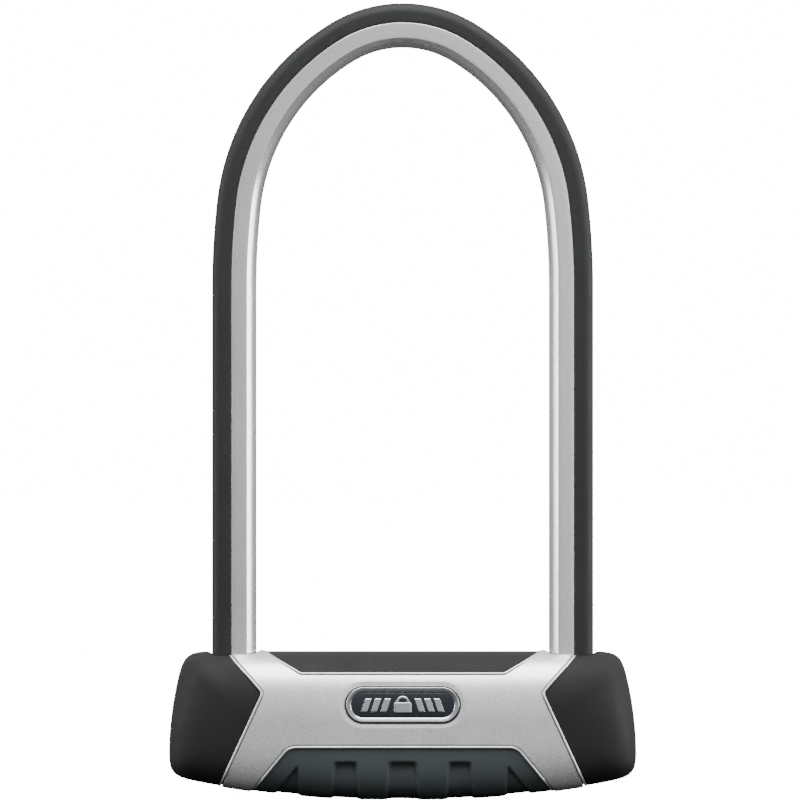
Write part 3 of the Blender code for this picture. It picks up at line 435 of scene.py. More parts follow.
def surface(name, patches, slot, stands_for=(), body="crossbar", wrap_rows=False,
            wrap_columns=False, merge=1e-6):
    """One piece from grids of points: cells become faces, doubles merge, faces turn outwards."""
    vertices, faces, start = [], [], 0
    for patch in patches:
        rows, columns = patch.shape[:2]
        vertices.append(patch.reshape(-1, 3))
        faces.append(quads(rows, columns, wrap_rows, wrap_columns) + start)
        start += rows * columns
    mesh = bpy.data.meshes.new(name)
    mesh.from_pydata(np.concatenate(vertices), [], np.concatenate(faces).tolist())
    bm = bmesh.new()
    bm.from_mesh(mesh)
    bmesh.ops.remove_doubles(bm, verts=bm.verts, dist=merge)
    bmesh.ops.dissolve_degenerate(bm, edges=bm.edges, dist=1e-8)
    bmesh.ops.recalc_face_normals(bm, faces=bm.faces)
    bm.to_mesh(mesh)
    bm.free()
    mesh.shade_smooth()
    piece = bpy.data.objects.new(name, mesh)
    bpy.context.scene.collection.objects.link(piece)
    mesh.materials.append(FINISHES[slot])
    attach(piece, body)
    if stands_for:
        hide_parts(*stands_for)
    return piece


def looped(name, rings, slot, stands_for=()):
    """A closed section carried round a closed path, as a piece of the crossbar."""
    return surface(name, [rings], slot, stands_for, wrap_rows=True, wrap_columns=True)


def face_outwards(piece):
    """Turn an open sheet so its faces look away from the crossbar's middle line."""
    mesh = piece.data
    centres, normals = np.empty((2, len(mesh.polygons) * 3))
    mesh.polygons.foreach_get("center", centres)
    mesh.polygons.foreach_get("normal", normals)
    away = centres.reshape(-1, 3) - [0, 0, BODY_TOP / 2]
    away[:, 0] *= 0.2                        # the middle line runs along X
    if (away * normals.reshape(-1, 3)).sum() < 0:
        mesh.flip_normals()
    return piece


def thicken(piece, wall):
    """Give an open sheet a wall on its inner side."""
    change = face_outwards(piece).modifiers.new("wall", "SOLIDIFY")
    change.thickness = wall
    change.offset = -1.0
    return piece


def mirrored(points, axis):
    """The same grid on the other side of a middle plane."""
    other = points.copy()
    other[..., axis] *= -1
    return other


def both_sides(points):
    """A right-hand grid with its mirror image before it, the middle column shared."""
    return np.concatenate([mirrored(points[:, :0:-1], 0), points], 1)


def around(path):
    """Direction along a closed path at each point."""
    return np.roll(path, -1, 0) - np.roll(path, 1, 0)


def carry(profile, path, sideways, outwards, closed):
    """A profile carried along a path: each ring is a path point plus profile steps both ways."""
    rings = (path[:, None, :] + sideways[:, None, :] * profile[None, :, 0, None]
             + outwards[:, None, :] * profile[None, :, 1, None])
    if closed:
        return rings
    ends = [np.broadcast_to(ring.mean(0), ring.shape)[None] for ring in (rings[0], rings[-1])]
    return np.concatenate([ends[0], rings, ends[1]])


# ---- node helper and finishes ----------------------------------------------------------------
def linear(hex_colour):
    """sRGB hex to linear RGBA."""
    channels = [int(hex_colour[i:i + 2], 16) / 255 for i in (0, 2, 4)]
    made = [c / 12.92 if c <= 0.04045 else ((c + 0.055) / 1.055) ** 2.4 for c in channels]
    return (*made, 1.0)


def add(tree, kind, links=None, **settings):
    """Add a node, set its sockets or properties, and link {socket: source} into it."""
    node = tree.nodes.new("ShaderNode" + kind)
    for key, value in settings.items():
        socket = node.inputs.get(key.replace("_", " "))
        if socket is not None:
            socket.default_value = value
        else:
            setattr(node, key, value)
    for key, source in (links or {}).items():
        tree.links.new(source, node.inputs[key])
    return node


def finish(name, colour, metallic=0.0, roughness=0.5, ior=1.5, coat=0.0, coat_roughness=0.1,
           grain_mm=0.4, grain=0.04, mottle=0.06, rough_change=0.06, specular=None):
    """A Principled finish with fine grain in its relief and slow change in its tone and gloss.

    grain_mm is the size of the grain, grain its height as a share of that size, mottle how far the
    colour drifts and rough_change how far the roughness drifts.
    """
    made = bpy.data.materials.new(name)
    made.use_nodes = True
    tree = made.node_tree
    tree.nodes.clear()
    place = add(tree, "TexCoord").outputs["Object"]
    slow = add(tree, "TexNoise", {"Vector": place}, Scale=1 / (14 * MM), Detail=3.0)
    fine = add(tree, "TexNoise", {"Vector": place}, Scale=1 / (grain_mm * MM), Detail=2.0)
    base = linear(colour)
    dark = tuple(c * (1 - mottle) for c in base[:3]) + (1.0,)
    light = tuple(min(c * (1 + mottle), 1) for c in base[:3]) + (1.0,)
    tone = add(tree, "ValToRGB", {"Fac": slow.outputs["Fac"]})
    for stop, spot, shade in zip(tone.color_ramp.elements, (0.35, 0.65), (dark, light)):
        stop.position, stop.color = spot, shade
    gloss = add(tree, "MapRange", {"Value": slow.outputs["Fac"]}, From_Min=0.3, From_Max=0.7,
                To_Min=max(roughness - rough_change, 0.02), To_Max=roughness + rough_change)
    bump = add(tree, "Bump", {"Height": fine.outputs["Fac"]}, Strength=1.0,
               Distance=grain * grain_mm * MM)
    shader = add(tree, "BsdfPrincipled",
                 {"Base Color": tone.outputs["Color"], "Roughness": gloss.outputs["Result"],
                  "Normal": bump.outputs["Normal"]},
                 Metallic=metallic, IOR=ior)
    shader.inputs["Coat Weight"].default_value = coat
    shader.inputs["Coat Roughness"].default_value = coat_roughness
    if specular is not None:
        shader.inputs["Specular IOR Level"].default_value = specular
    add(tree, "OutputMaterial", {"Surface": shader.outputs["BSDF"]})
    return made


def flake_paint(name, colour, flake_mm=0.45, roughness=0.36, metallic=0.72, drift=0.17):
    """Silver paint with metal flake under a satin clear coat: small cells of different tone.

    flake_mm is the size of a cell and drift how far its tone differs.
    """
    made = finish(name, colour, metallic=metallic, roughness=roughness, coat=0.25,
                  coat_roughness=0.25, grain_mm=0.5, grain=0.015, mottle=0.02, rough_change=0.03)
    tree = made.node_tree
    shader = tree.nodes["Principled BSDF"]
    place = add(tree, "TexCoord").outputs["Object"]
    flakes = add(tree, "TexVoronoi", {"Vector": place}, Scale=1 / (flake_mm * MM))
    shade = add(tree, "MapRange", {"Value": flakes.outputs["Color"]}, To_Min=1 - drift,
                To_Max=1 + drift)
    tone = shader.inputs["Base Color"].links[0].from_socket
    mix = add(tree, "VectorMath", {0: tone, "Scale": shade.outputs["Result"]}, operation="SCALE")
    tree.links.new(mix.outputs["Vector"], shader.inputs["Base Color"])
    return made


FINISHES = {}


def make_finishes(colours):
    """Every finish of the lock, each named for the real material and how it was made."""
    made = {
        # dipped vinyl over steel: near black, dull, with a soft wide sheen
        "coat_black": finish("dipped_vinyl_black", colours.coat_black, roughness=0.64, grain_mm=0.5,
                             grain=0.02, specular=0.2),
        # the same coat with silver pigment: pale grey, glossier, bright on its facet
        "coat_silver": flake_paint("dipped_vinyl_silver", colours.coat_silver, roughness=0.26,
                                   metallic=0.70, drift=0.05),
        # sprayed flake paint on moulded ABS: bright satin with a speckle
        "cover_silver": flake_paint("flake_paint_on_abs", colours.cover),
        # spark-textured ABS: near black, with a broad faint highlight
        "cap_black": finish("moulded_abs_black", colours.cap, roughness=0.68, grain_mm=0.35,
                            grain=0.05, specular=0.16),
        # thermoplastic rubber: dull, slightly green grey
        "grip_rubber": finish("moulded_soft_rubber", colours.grip, roughness=0.62, grain_mm=0.4,
                              grain=0.06, specular=0.3),
        # pressed rubber rings: matt black; the black ring round the badge uses it too, as painted
        # shade of the groove there
        "seal_rubber": finish("pressed_rubber_and_groove_shade", "181818", roughness=0.85, grain_mm=0.5),
        # satin chrome plate on ABS: soft reflections with faint waviness
        "chrome": finish("chrome_plate", "9a9da2", metallic=1.0, roughness=0.26, grain_mm=1.2,
                         grain=0.002, mottle=0.01, rough_change=0.02),
        # enamelled plate: smooth dark blue grey, half dull
        "badge_blue": finish("enamelled_plate", colours.badge, roughness=0.45, specular=0.2,
                             grain_mm=0.6, grain=0.01),
        # ground and nickel-plated hardened steel
        "hardened_steel": finish("plated_hardened_steel", "b0aea9", metallic=1.0, roughness=0.30,
                                 grain_mm=0.3, grain=0.02),
        # zinc-plated pressed steel
        "case_steel": finish("zinc_plated_steel", "9da0a4", metallic=1.0, roughness=0.38,
                             grain_mm=0.8, grain=0.01, mottle=0.12),
        # moulded glass-filled nylon
        "nylon": finish("moulded_nylon", "2c2c2d", roughness=0.5, grain_mm=0.6, grain=0.03),
        # stamped brass
        "brass": finish("stamped_brass", "d8b869", metallic=1.0, roughness=0.28, grain_mm=0.3,
                        grain=0.01, mottle=0.05),
        # bright spring wire and pins
        "spring_steel": finish("spring_steel", "b9bbbd", metallic=1.0, roughness=0.25, grain_mm=0.4,
                               grain=0.005),
        # die-cast zinc
        "zinc": finish("die_cast_zinc", "b4b5b8", metallic=1.0, roughness=0.34, grain_mm=0.5,
                       grain=0.02),
    }
    FINISHES.update(made)


# ---- shackle ---------------------------------------------------------------------------------
CROWN_RADIUS, CROWN_ANGLE = 44.0 * MM, math.radians(31.4)
SHOULDER_RADIUS, SHOULDER_ANGLE = 81.4 * MM, math.radians(52.0)
FACET_START = 3.5 * MM         # how far in from the side face the facet begins
SOFT = 0.25 * MM               # small rounding of lips and facet edges


def shackle_route():
    """Centre line and outward direction: a leg, three tangent arcs to the apex, then mirrored."""
    rise = CROWN_ANGLE + SHOULDER_ANGLE
    width = CROWN_RADIUS * math.sin(CROWN_ANGLE)
    width += SHOULDER_RADIUS * (math.sin(rise) - math.sin(CROWN_ANGLE))
    flare_radius = (LEG_X - width) / (1 - math.sin(rise))
    centre = np.array([0.0, APEX_Z - CROWN_RADIUS])
    headings, points = [], []
    spans = ((CROWN_RADIUS, 0, CROWN_ANGLE, 34),        # radius, first and last angle, steps
             (SHOULDER_RADIUS, CROWN_ANGLE, rise, 80), (flare_radius, rise, math.pi / 2, 24))
    previous = CROWN_RADIUS
    for radius, start, stop, count in spans:
        centre = centre - (radius - previous) * np.array([math.sin(start), math.cos(start)])
        previous = radius
        angle = np.linspace(start, stop, count + 1)[:-1]
        points.append(centre + radius * np.stack([np.sin(angle), np.cos(angle)], -1))
        headings.append(angle)
    leg = np.linspace(centre[1], COAT_Z, 60)
    points.append(np.stack([np.full(60, LEG_X), leg], -1))
    headings.append(np.full(60, math.pi / 2))
    half, heading = np.concatenate(points), np.concatenate(headings)
    half = np.concatenate([half[:0:-1] * [-1, 1], half])
    heading = np.concatenate([-heading[:0:-1], heading])
    path = np.stack([half[:, 0], np.zeros(len(half)), half[:, 1]], -1)
    outward = np.stack([np.sin(heading), np.zeros(len(half)), np.cos(heading)], -1)
    return path, outward


def round_corner(half, corner):
    """Quarter circle from the front face to the side face."""
    turn = np.linspace(0, math.pi / 2, 13)
    arc = np.stack([np.sin(turn), -np.cos(turn)], -1)
    return corner * arc + [half - corner, corner - half]


def faceted_corner(half, facet):
    """A 45 degree facet with softened edges, then a broad arc that ends along the side face."""
    first = np.linspace(0, math.pi / 4, 5)
    start = half - FACET_START - SOFT * math.tan(math.pi / 8)
    lead = np.stack([start + SOFT * np.sin(first), SOFT - half - SOFT * np.cos(first)], -1)
    radius = (FACET_START - facet) / (1 - math.sqrt(0.5))
    turn = np.linspace(math.pi / 4, math.pi / 2, 12)
    centre = np.array([half - radius, radius * math.sqrt(0.5) - (half - facet)])
    return np.concatenate([lead, centre + radius * np.stack([np.sin(turn), -np.cos(turn)], -1)])


def sleeve_profile(side, corner, sizes):
    """Closed section of one half: lip at the groove, flat front, corner, and the same behind."""
    edge = sizes.groove / 2 + side * sizes.split
    half, bevel = COAT_HALF, 2 * MM
    turn = np.linspace(0, math.pi / 2, 5)
    rim = np.stack([edge + SOFT - SOFT * np.cos(turn), SOFT * (1 - np.sin(turn)) - half], -1)
    flat = np.linspace(edge + SOFT, corner[0, 0], 5)[1:-1]
    front = np.concatenate([rim, np.stack([flat, np.full(len(flat), -half)], -1), corner])
    back = np.linspace(front[-1, 1], -front[-1, 1], 7)[1:-1]
    back = np.stack([np.full(len(back), half), back], -1)
    bore = half - sizes.wall
    inner = np.array([(edge, bore), (bore - bevel, bore), (bore, bore - bevel),
                      (bore, bevel - bore), (bore - bevel, -bore), (edge, -bore)])
    return np.concatenate([front, back, front[::-1] * [1, -1], inner]) * [side, 1]


class ULOCK_OT_shackle(bpy.types.Operator):
    """Coated shackle: a black outer half and a silver inner half over the bare steel bar"""
    bl_idname = "ulock.shackle"
    bl_label = "Shackle"

    def execute(self, context):
        sizes = context.scene.ulock_shackle
        path, outward = shackle_route()
        across = np.broadcast_to([0.0, 1.0, 0.0], path.shape)
        rounded = round_corner(COAT_HALF, sizes.corner)
        faceted = faceted_corner(COAT_HALF, sizes.facet)
        for name, side, slot, corner in (
                ("shackle_sleeve_outer", 1, "coat_black", rounded),
                ("shackle_sleeve_inner", -1, "coat_silver", faceted)):
            rings = carry(sleeve_profile(side, corner, sizes), path, outward, across, closed=False)
            surface(name + "_coat", [rings], slot, (name,), "shackle", wrap_columns=True)
        return {"FINISHED"}


# ---- crossbar shell --------------------------------------------------------------------------
# distances of the rows nearest an edge, and of the columns just past the grip's end
EDGE_STEPS = np.array([0, 0.03, 0.07, 0.13, 0.20, 0.29, 0.40, 0.60, 0.90, 1.3]) * MM


SEAM_STEPS = np.array([0.02, 0.06, 0.12, 0.20, 0.32]) * MM


def fitted_rows(low, high, count):
    """Rows between two taped edges in each column: close together at both edges, even between."""
    length = np.maximum(high - low, 0)
    scale = np.minimum(1, length / (3 * EDGE_STEPS[-1]))
    near = EDGE_STEPS[:, None] * scale
    middle = np.linspace(0, 1, count)[1:-1, None]
    core = (low + near[-1]) * (1 - middle) + (high - near[-1]) * middle
    return np.concatenate([low + near, core, (high - near)[::-1]])


def columns_between(low, high, spacing, extra=()):
    """Column positions an even distance apart with special ones added."""
    even = np.linspace(low, high, int((high - low) / spacing) + 1)
    return np.unique(np.concatenate([even, [x for x in extra if low <= x <= high]]))


def hole_distance(points):
    """Distance outside the nearest leg hole, seen from above, on the upper skin only."""
    x = np.abs(np.abs(points[..., 0]) - LEG_X) - (HOLE_HALF - HOLE_CORNER)
    y = np.abs(points[..., 1]) - (HOLE_HALF - HOLE_CORNER)
    outside = np.hypot(np.maximum(x, 0), np.maximum(y, 0)) + np.minimum(np.maximum(x, y), 0)
    return np.where(points[..., 2] > BODY_TOP / 2, outside - HOLE_CORNER, 1.0)


def scooped(points):
    """Draw the skin down round the leg holes: a square-law dip that fades out over its reach."""
    reach, depth = 1.8 * MM, 0.7 * MM
    near = np.clip(1 - hole_distance(points) / reach, 0, 1)
    return points - skin_normal(points) * (depth * near ** 2)[..., None]


def hole_curve(across):
    """Reach of a hole's round corner past the corner's centre, at a distance across from it."""
    return np.sqrt(np.maximum(HOLE_CORNER ** 2 - np.maximum(across, 0) ** 2, 0))


def round_edge(distance, radius):
    """How far a rounded edge has dropped at a distance in from it: a quarter circle."""
    inside = np.clip(radius - distance, 0, radius)
    return radius - np.sqrt(radius ** 2 - inside ** 2)


def hole_front(x):
    """Depth of the leg hole's rounded outline in front of the middle, by X."""
    inner = HOLE_HALF - HOLE_CORNER
    return inner + hole_curve(np.abs(x - LEG_X) - inner)


def badge_seat(x, length):
    """Sink of the cover round the badge: a smooth dish, with a deeper floor under the badge."""
    z = skin_point(x, girth_from(length))[..., 2] - BADGE_Z
    straight = BADGE_HALF - BADGE_RADIUS
    outside = np.hypot(np.maximum(np.abs(x) - straight, 0), z) - BADGE_RADIUS
    dish = smooth(np.clip(1 - outside / (1.7 * MM), 0, 1))
    return 0.30 * MM * dish + np.where(outside < -0.5 * MM, 0.8 * MM, 0.0)


def kept_columns(right, low, high):
    """Cut a sheet's columns one past the last whose lower edge is below its upper edge."""
    keep = low < high
    count = (np.argmin(keep) if not keep.all() else len(keep)) + 1
    return right[:count], low[:count], high[:count]


def cover_patches(sizes, seated):
    """Upper and lower sheet of one silver cover, sunk under the badge where it is seated."""
    inset = sizes.bead + sizes.groove
    strip, cap, grip = beside(STRIP, -inset), beside(CAP, -inset), beside(GRIP, inset)
    waist = np.argmin(cap[:, 0])
    waist_x, waist_tape = cap[waist]
    seam, thin, spacing = 0.08 * MM, 0.1 * MM, 0.6 * MM
    top, bottom = TOP_TAPE - seam, LOW_TAPE + seam
    hole_x, ease = LEG_X - HOLE_HALF, 0.35 * MM

    right = columns_between(0, 66 * MM, spacing,
                            (waist_x, crossing(strip, top), STRIP_LINE[1][0], *strip[ROUTE_END],
                             *(hole_x - ease * np.linspace(1, 0, 5))))
    over = np.maximum(right, hole_x)
    hole_tape = tape(girth_at_depth(over, hole_front(over)))
    hole_tape += (top - hole_tape) * np.clip((hole_x - right) / ease, 0, 1)
    high = np.minimum(height_on(strip, right), hole_tape)
    low = np.where(right > waist_x, height_on(cap[:waist + 1], right), waist_tape)
    x, low, high = kept_columns(right, low, high)
    upper = x, low, np.maximum(high, low + thin)

    right = columns_between(0, crossing(cap, bottom), spacing,
                            (waist_x, crossing(grip, bottom), *GRIP_TURN, *grip[ROUTE_END],
                             *(grip[:, 0].max() + SEAM_STEPS)))
    low = np.maximum(height_on(grip, right), bottom)
    high = np.where(right > waist_x, height_on(cap[waist:], right), waist_tape)
    x, low, high = kept_columns(right, low, high)
    high = np.maximum(high, bottom + thin)
    lower = x, np.minimum(low, high - thin), high

    level_lines = [np.array([[0, length], [0.08, length]]) for length in (top, bottom)]
    edges = (strip, cap, grip, *level_lines)
    patches = []
    for x, low, high in (upper, lower):
        rows = fitted_rows(low, high, 56)
        x = np.broadcast_to(x, rows.shape)
        taped_points = np.stack([x, rows], -1)
        gap = np.min([distance_to(taped_points, edge) for edge in edges], 0)
        raised = sizes.cover_raise - round_edge(gap, 0.3 * MM)
        if seated:
            raised = raised - badge_seat(x, rows)
        patches.append(both_sides(scooped(on_skin(x, rows, raised))))
    return patches


def bead_profile(sizes):
    """Section of a bead: upright foot, half-round top, and a floor that runs under the cover."""
    radius = sizes.bead / 2
    crown = sizes.bead_height - radius
    turn = np.linspace(math.pi, 0, 13)
    dome = np.stack([radius + radius * np.cos(turn), crown + radius * np.sin(turn)], -1)
    floor = sizes.bead + sizes.groove + 0.3 * MM
    under = np.array([(sizes.bead, 0.0), (floor, -0.05 * MM), (floor, -1.0 * MM), (0.0, -1.0 * MM)])
    return np.concatenate([dome, under])


def bead_loop(sizes, route, side, closed):
    """A bead carried along an outline on the front, over the edge and back along its mirror image.

    It sinks into the cover by a smooth step of how far the skin faces up or down.
    """
    even = resample(route, 0.3 * MM)
    front = skin_point(even[:, 0], girth_from(even[:, 1]))
    path = np.concatenate([front, mirrored(front, 1)[::-1][1:]])
    if closed:
        path = np.concatenate([path, mirrored(path, 0)[::-1][1:-1]])
    outward = skin_normal(path)
    along = around(path) if closed else np.gradient(path, axis=0)
    sideways = unit(np.cross(along, outward) * side)
    level_share = smooth(np.clip((np.abs(outward[:, 2]) - 0.35) / 0.5, 0, 1))
    path = scooped(path - outward * (0.55 * MM * level_share)[:, None])
    return carry(bead_profile(sizes), path, sideways, outward, closed)


class ULOCK_OT_covers(bpy.types.Operator):
    """Silver covers front and back with the raised bright beads round them"""
    bl_idname = "ulock.covers"
    bl_label = "Silver covers"

    def execute(self, context):
        sizes = context.scene.ulock_crossbar
        front = cover_patches(sizes, True)
        rear = [mirrored(patch, 1) for patch in cover_patches(sizes, False)]
        for name, patches in (("front_cover", front), ("rear_cover", rear)):
            thicken(surface(name + "_panel", patches, "cover_silver", (name,), merge=FINE_MERGE),
                    sizes.wall)
        looped("strip_bead", bead_loop(sizes, STRIP, 1, True), "cover_silver")
        looped("grip_bead", bead_loop(sizes, GRIP, -1, True), "cover_silver")
        edge = CAP[hole_distance(skin_point(CAP[:, 0], girth_from(CAP[:, 1]))) > 0]
        right = bead_loop(sizes, edge, 1, False)
        for name, points in (("right", right), ("left", mirrored(right, 0))):
            surface("cap_bead_" + name, [points], "cover_silver", wrap_columns=True)
        return {"FINISHED"}


class ULOCK_OT_top_strip(bpy.types.Operator):
    """Black strip along the crowned top between the legs"""
    bl_idname = "ulock.top_strip"
    bl_label = "Top strip"

    def execute(self, context):
        under = beside(STRIP, -0.25 * MM)
        tip = crossing(under, TOP_TAPE) - 0.3 * MM
        right = columns_between(0, tip, 0.5 * MM, (STRIP_LINE[1][0],))
        low = height_on(under, right)
        rows = fitted_rows(low, np.full(len(right), TOP_TAPE), 30)
        points = on_skin(np.broadcast_to(right, rows.shape), rows, np.zeros(rows.shape))
        points[-1, :, 1] = 0.0
        front = both_sides(points)
        piece = surface("top_strip", [front, mirrored(front, 1)], "cap_black", ("top_bridge",),
                        merge=FINE_MERGE)
        thicken(piece, context.scene.ulock_crossbar.wall)
        return {"FINISHED"}


def tip_rows(ring, count=10):
    """Close the end: the last ring keeps its heights while its depth shrinks to the middle."""
    y = ring[:, 1] * (1 - np.linspace(0, 1, count + 1)[1:, None] ** 0.8)
    z = np.broadcast_to(ring[:, 2], y.shape)
    width = width_at(z)
    x = width
    for _ in range(12):
        height = height_share(x, z)
        power = section_power(height, joined(height, np.clip(reach_of(x, z), 0, 1)))
        full = (1 - (np.abs(y) / BODY_DEPTH) ** power) ** (1 / power)
        reach = np.maximum(full ** CORNER - np.abs(height) ** CORNER, 0) ** (1 / CORNER)
        x = width - END + END * reach
    return np.stack([x, y, z], -1)


class ULOCK_OT_end_caps(bpy.types.Operator):
    """Black moulded ends, each one closed form from the silver's edge round to the tip"""
    bl_idname = "ulock.end_caps"
    bl_label = "End caps"

    def execute(self, context):
        sizes = context.scene.ulock_crossbar
        under = beside(CAP, -0.25 * MM)[::-1]           # from the bottom edge up
        hole_edge, inner = LEG_X + HOLE_HALF, HOLE_HALF - HOLE_CORNER
        on_top = skin_point(under[:, 0], girth_from(under[:, 1]))
        inside = hole_distance(on_top) <= 0
        jump = under[np.argmax(inside), 1]
        ease = 0.5 * MM
        lengths = columns_between(LOW_TAPE, TOP_TAPE, 0.45 * MM,
                                  jump - ease * np.linspace(0, 1, 6))
        girth = girth_from(lengths)
        edge_x = np.interp(lengths, under[:, 1], under[:, 0])
        depth = np.abs(skin_point(np.full(len(girth), hole_edge), girth)[:, 1])
        hole_x = LEG_X + inner + hole_curve(depth - inner)
        edge_x += (hole_x - edge_x) * np.clip((lengths - jump + ease) / ease, 0, 1)
        edge = skin_point(edge_x, girth)
        first = (edge_x - width_at(edge[:, 2]) + END) / END
        ends = np.linspace(0.976, 0.5, 24)
        reach = np.concatenate([np.linspace(-0.3, 0.8, 40)[:-1],
                                (1 - ends ** CORNER) ** (1 / CORNER)])
        order = np.linspace(0, 1, len(reach))
        begin = np.interp(first, reach, order)
        share = begin + (1 - begin) * np.linspace(0, 1, 50)[:, None]
        rows = np.interp(share, order, reach)
        points = scooped(end_point(rows, np.broadcast_to(girth, rows.shape)))
        points = np.concatenate([points, tip_rows(points[-1])])
        inside_wall = points - skin_normal(points) * sizes.wall
        points = np.concatenate([inside_wall[::-1], points])
        points[:, [0, -1], 1] = 0.0
        points[[0, -1], :, 1] = 0.0
        for name, side in (("right", points), ("left", mirrored(points, 0))):
            surface(f"end_cap_{name}_skin", [side, mirrored(side, 1)], "cap_black",
                    ("end_cap_" + name,), merge=FINE_MERGE)
        return {"FINISHED"}


# ---- grip ------------------------------------------------------------------------------------
FLUTES = (-43.6 * MM, -21.4 * MM, 0.0, 21.4 * MM, 43.6 * MM)
OUTER_FLUTE = -30 * MM         # the flutes past this one follow the pad's slanting end
CYLINDER_HOLE = 11.3 * MM      # radius round the lock cylinder


def flute_depth(points, depth):
    """Depth of the flutes: a soft minimum of the distances inside two sides and a top, smoothed.

    It is shallower below, and shallower again across the underside.
    """
    x, y, z = points[..., 0], points[..., 1], points[..., 2]
    total = np.zeros(x.shape)
    wall, soften = 1.7 * MM, 0.5 * MM
    for centre in FLUTES:
        half = (6.9 if centre == 0 else 5.9) * MM
        left, right = centre - half + 0.09 * z, centre + half - 0.09 * z
        if centre < OUTER_FLUTE:
            left = -50.2 * MM + 0.80 * z
        if centre > -OUTER_FLUTE:
            right = 50.2 * MM - 0.80 * z
        sides = np.stack([x - left, right - x, 14.6 * MM - z])
        inside = -soften * np.log(np.exp(-sides / soften).sum(0))
        total = np.maximum(total, smooth(np.clip(inside / wall, 0, 1)))
    shallow = 1 - 0.45 * np.clip((13 * MM - z) / (9 * MM), 0, 1)
    fade = smooth(np.clip((np.abs(y) - 11.5 * MM) / (4 * MM), 0, 1))
    return depth * total * shallow * (0.6 + 0.4 * fade)


class ULOCK_OT_grip(bpy.types.Operator):
    """Dark rubber pad with five flutes front and back, a flat foot and the lock cylinder's hole"""
    bl_idname = "ulock.grip"
    bl_label = "Grip pad"

    def execute(self, context):
        sizes = context.scene.ulock_crossbar
        under = beside(GRIP, 0.25 * MM)
        tip = crossing(under, LOW_TAPE) - 0.3 * MM
        right = columns_between(0, tip, 0.42 * MM)
        high = height_on(under, right)
        rows = fitted_rows(np.full(len(right), LOW_TAPE), high, 74)
        points = on_skin(np.broadcast_to(right, rows.shape), rows, np.zeros(rows.shape))
        half = both_sides(points)
        sunk = flute_depth(half, sizes.flute_depth)
        half = half - skin_normal(half) * sunk[..., None]
        half[0, :, 1] = 0.0
        half[..., 2] = np.maximum(half[..., 2], 0.0)
        pad = surface("grip_pad_skin", [half, mirrored(half, 1)], "grip_rubber", ("grip_pad",),
                      merge=FINE_MERGE)
        thicken(pad, sizes.wall)
        cutter = bpy.data.meshes.new("hole")
        bm = bmesh.new()
        bmesh.ops.create_cone(bm, cap_ends=True, segments=96, radius1=CYLINDER_HOLE,
                              radius2=CYLINDER_HOLE, depth=16 * MM)
        bmesh.ops.recalc_face_normals(bm, faces=bm.faces)
        bm.to_mesh(cutter)
        bm.free()
        tool = bpy.data.objects.new("hole", cutter)
        context.scene.collection.objects.link(tool)
        change = pad.modifiers.new("hole", "BOOLEAN")
        change.operation, change.solver, change.object = "DIFFERENCE", "EXACT", tool
        context.view_layer.update()
        graph = context.evaluated_depsgraph_get()
        made = bpy.data.meshes.new_from_object(pad.evaluated_get(graph))
        pad.modifiers.clear()
        pad.data = made
        made.name = "grip_pad_skin"
        bpy.data.objects.remove(tool)
        return {"FINISHED"}


# ---- badge -----------------------------------------------------------------------------------
def stadium(half, radius, count):
    """A long outline with round ends, anticlockwise from the right, evenly stepped."""
    straight = half - radius
    turn = np.linspace(-math.pi / 2, math.pi / 2, 60)
    right = np.stack([straight + radius * np.cos(turn), radius * np.sin(turn)], -1)
    closed = np.concatenate([right, -right, right[:1]])
    return resample(closed, (4 * straight + 2 * math.pi * radius) / count)[:-1]


def badge_plate(half, radius, lift, columns=121, rows=17):
    """A stadium-shaped plate on the skin: columns in X between its lower and upper outlines."""
    x = half * np.sin(np.linspace(-math.pi / 2, math.pi / 2, columns))
    tall = np.sqrt(np.maximum(radius ** 2 - np.maximum(np.abs(x) - half + radius, 0) ** 2, 0))
    z = BADGE_Z + np.linspace(-1, 1, rows)[:, None] * tall
    return on_front(np.broadcast_to(x, z.shape), z, lift)


def round_box(half_x, half_z, radius, lean=0.0):
    """Outline of a rounded rectangle, its top moved sideways by lean."""
    turn = np.linspace(0, math.pi / 2, 7)
    corner = np.stack([half_x - radius + radius * np.cos(turn),
                       half_z - radius + radius * np.sin(turn)], -1)
    right = np.concatenate([(corner * [1, -1])[::-1], corner])
    points = np.concatenate([right, -right])
    points[:, 0] += lean * points[:, 1] / half_z
    return resample(np.concatenate([points, points[:1]]), 0.12 * MM)[:-1]


def raised_shape(outline, place, base, height, bevel=0.18 * MM):
    """A small raised sign: its outline rises, turns in over a bevel, and rings close its middle."""
    centre = outline.mean(0)
    first = bevel / np.abs(outline - centre).max()
    shares = np.concatenate([[1, 0, 0], np.linspace(first, 1, 7)])
    lifts = base + np.array([-0.3 * MM, -0.3 * MM, height - bevel, *([height] * 7)])
    flat = outline * (1 - shares[:, None, None]) + centre * shares[:, None, None]
    x, z = flat[..., 0] + place[0], flat[..., 1] + place[1] + BADGE_Z
    return on_front(x, z, lifts[:, None])


def ring_on_skin(half, radius, profile):
    """A section carried round a stadium on the cover, its first axis pointing inwards."""
    outline = stadium(half, radius, 320)
    x, z = outline[:, 0], outline[:, 1] + BADGE_Z
    path = on_front(x, z, 0.0)
    outward = skin_normal(path)
    return carry(profile, path, unit(np.cross(outward, around(path))), outward, True)


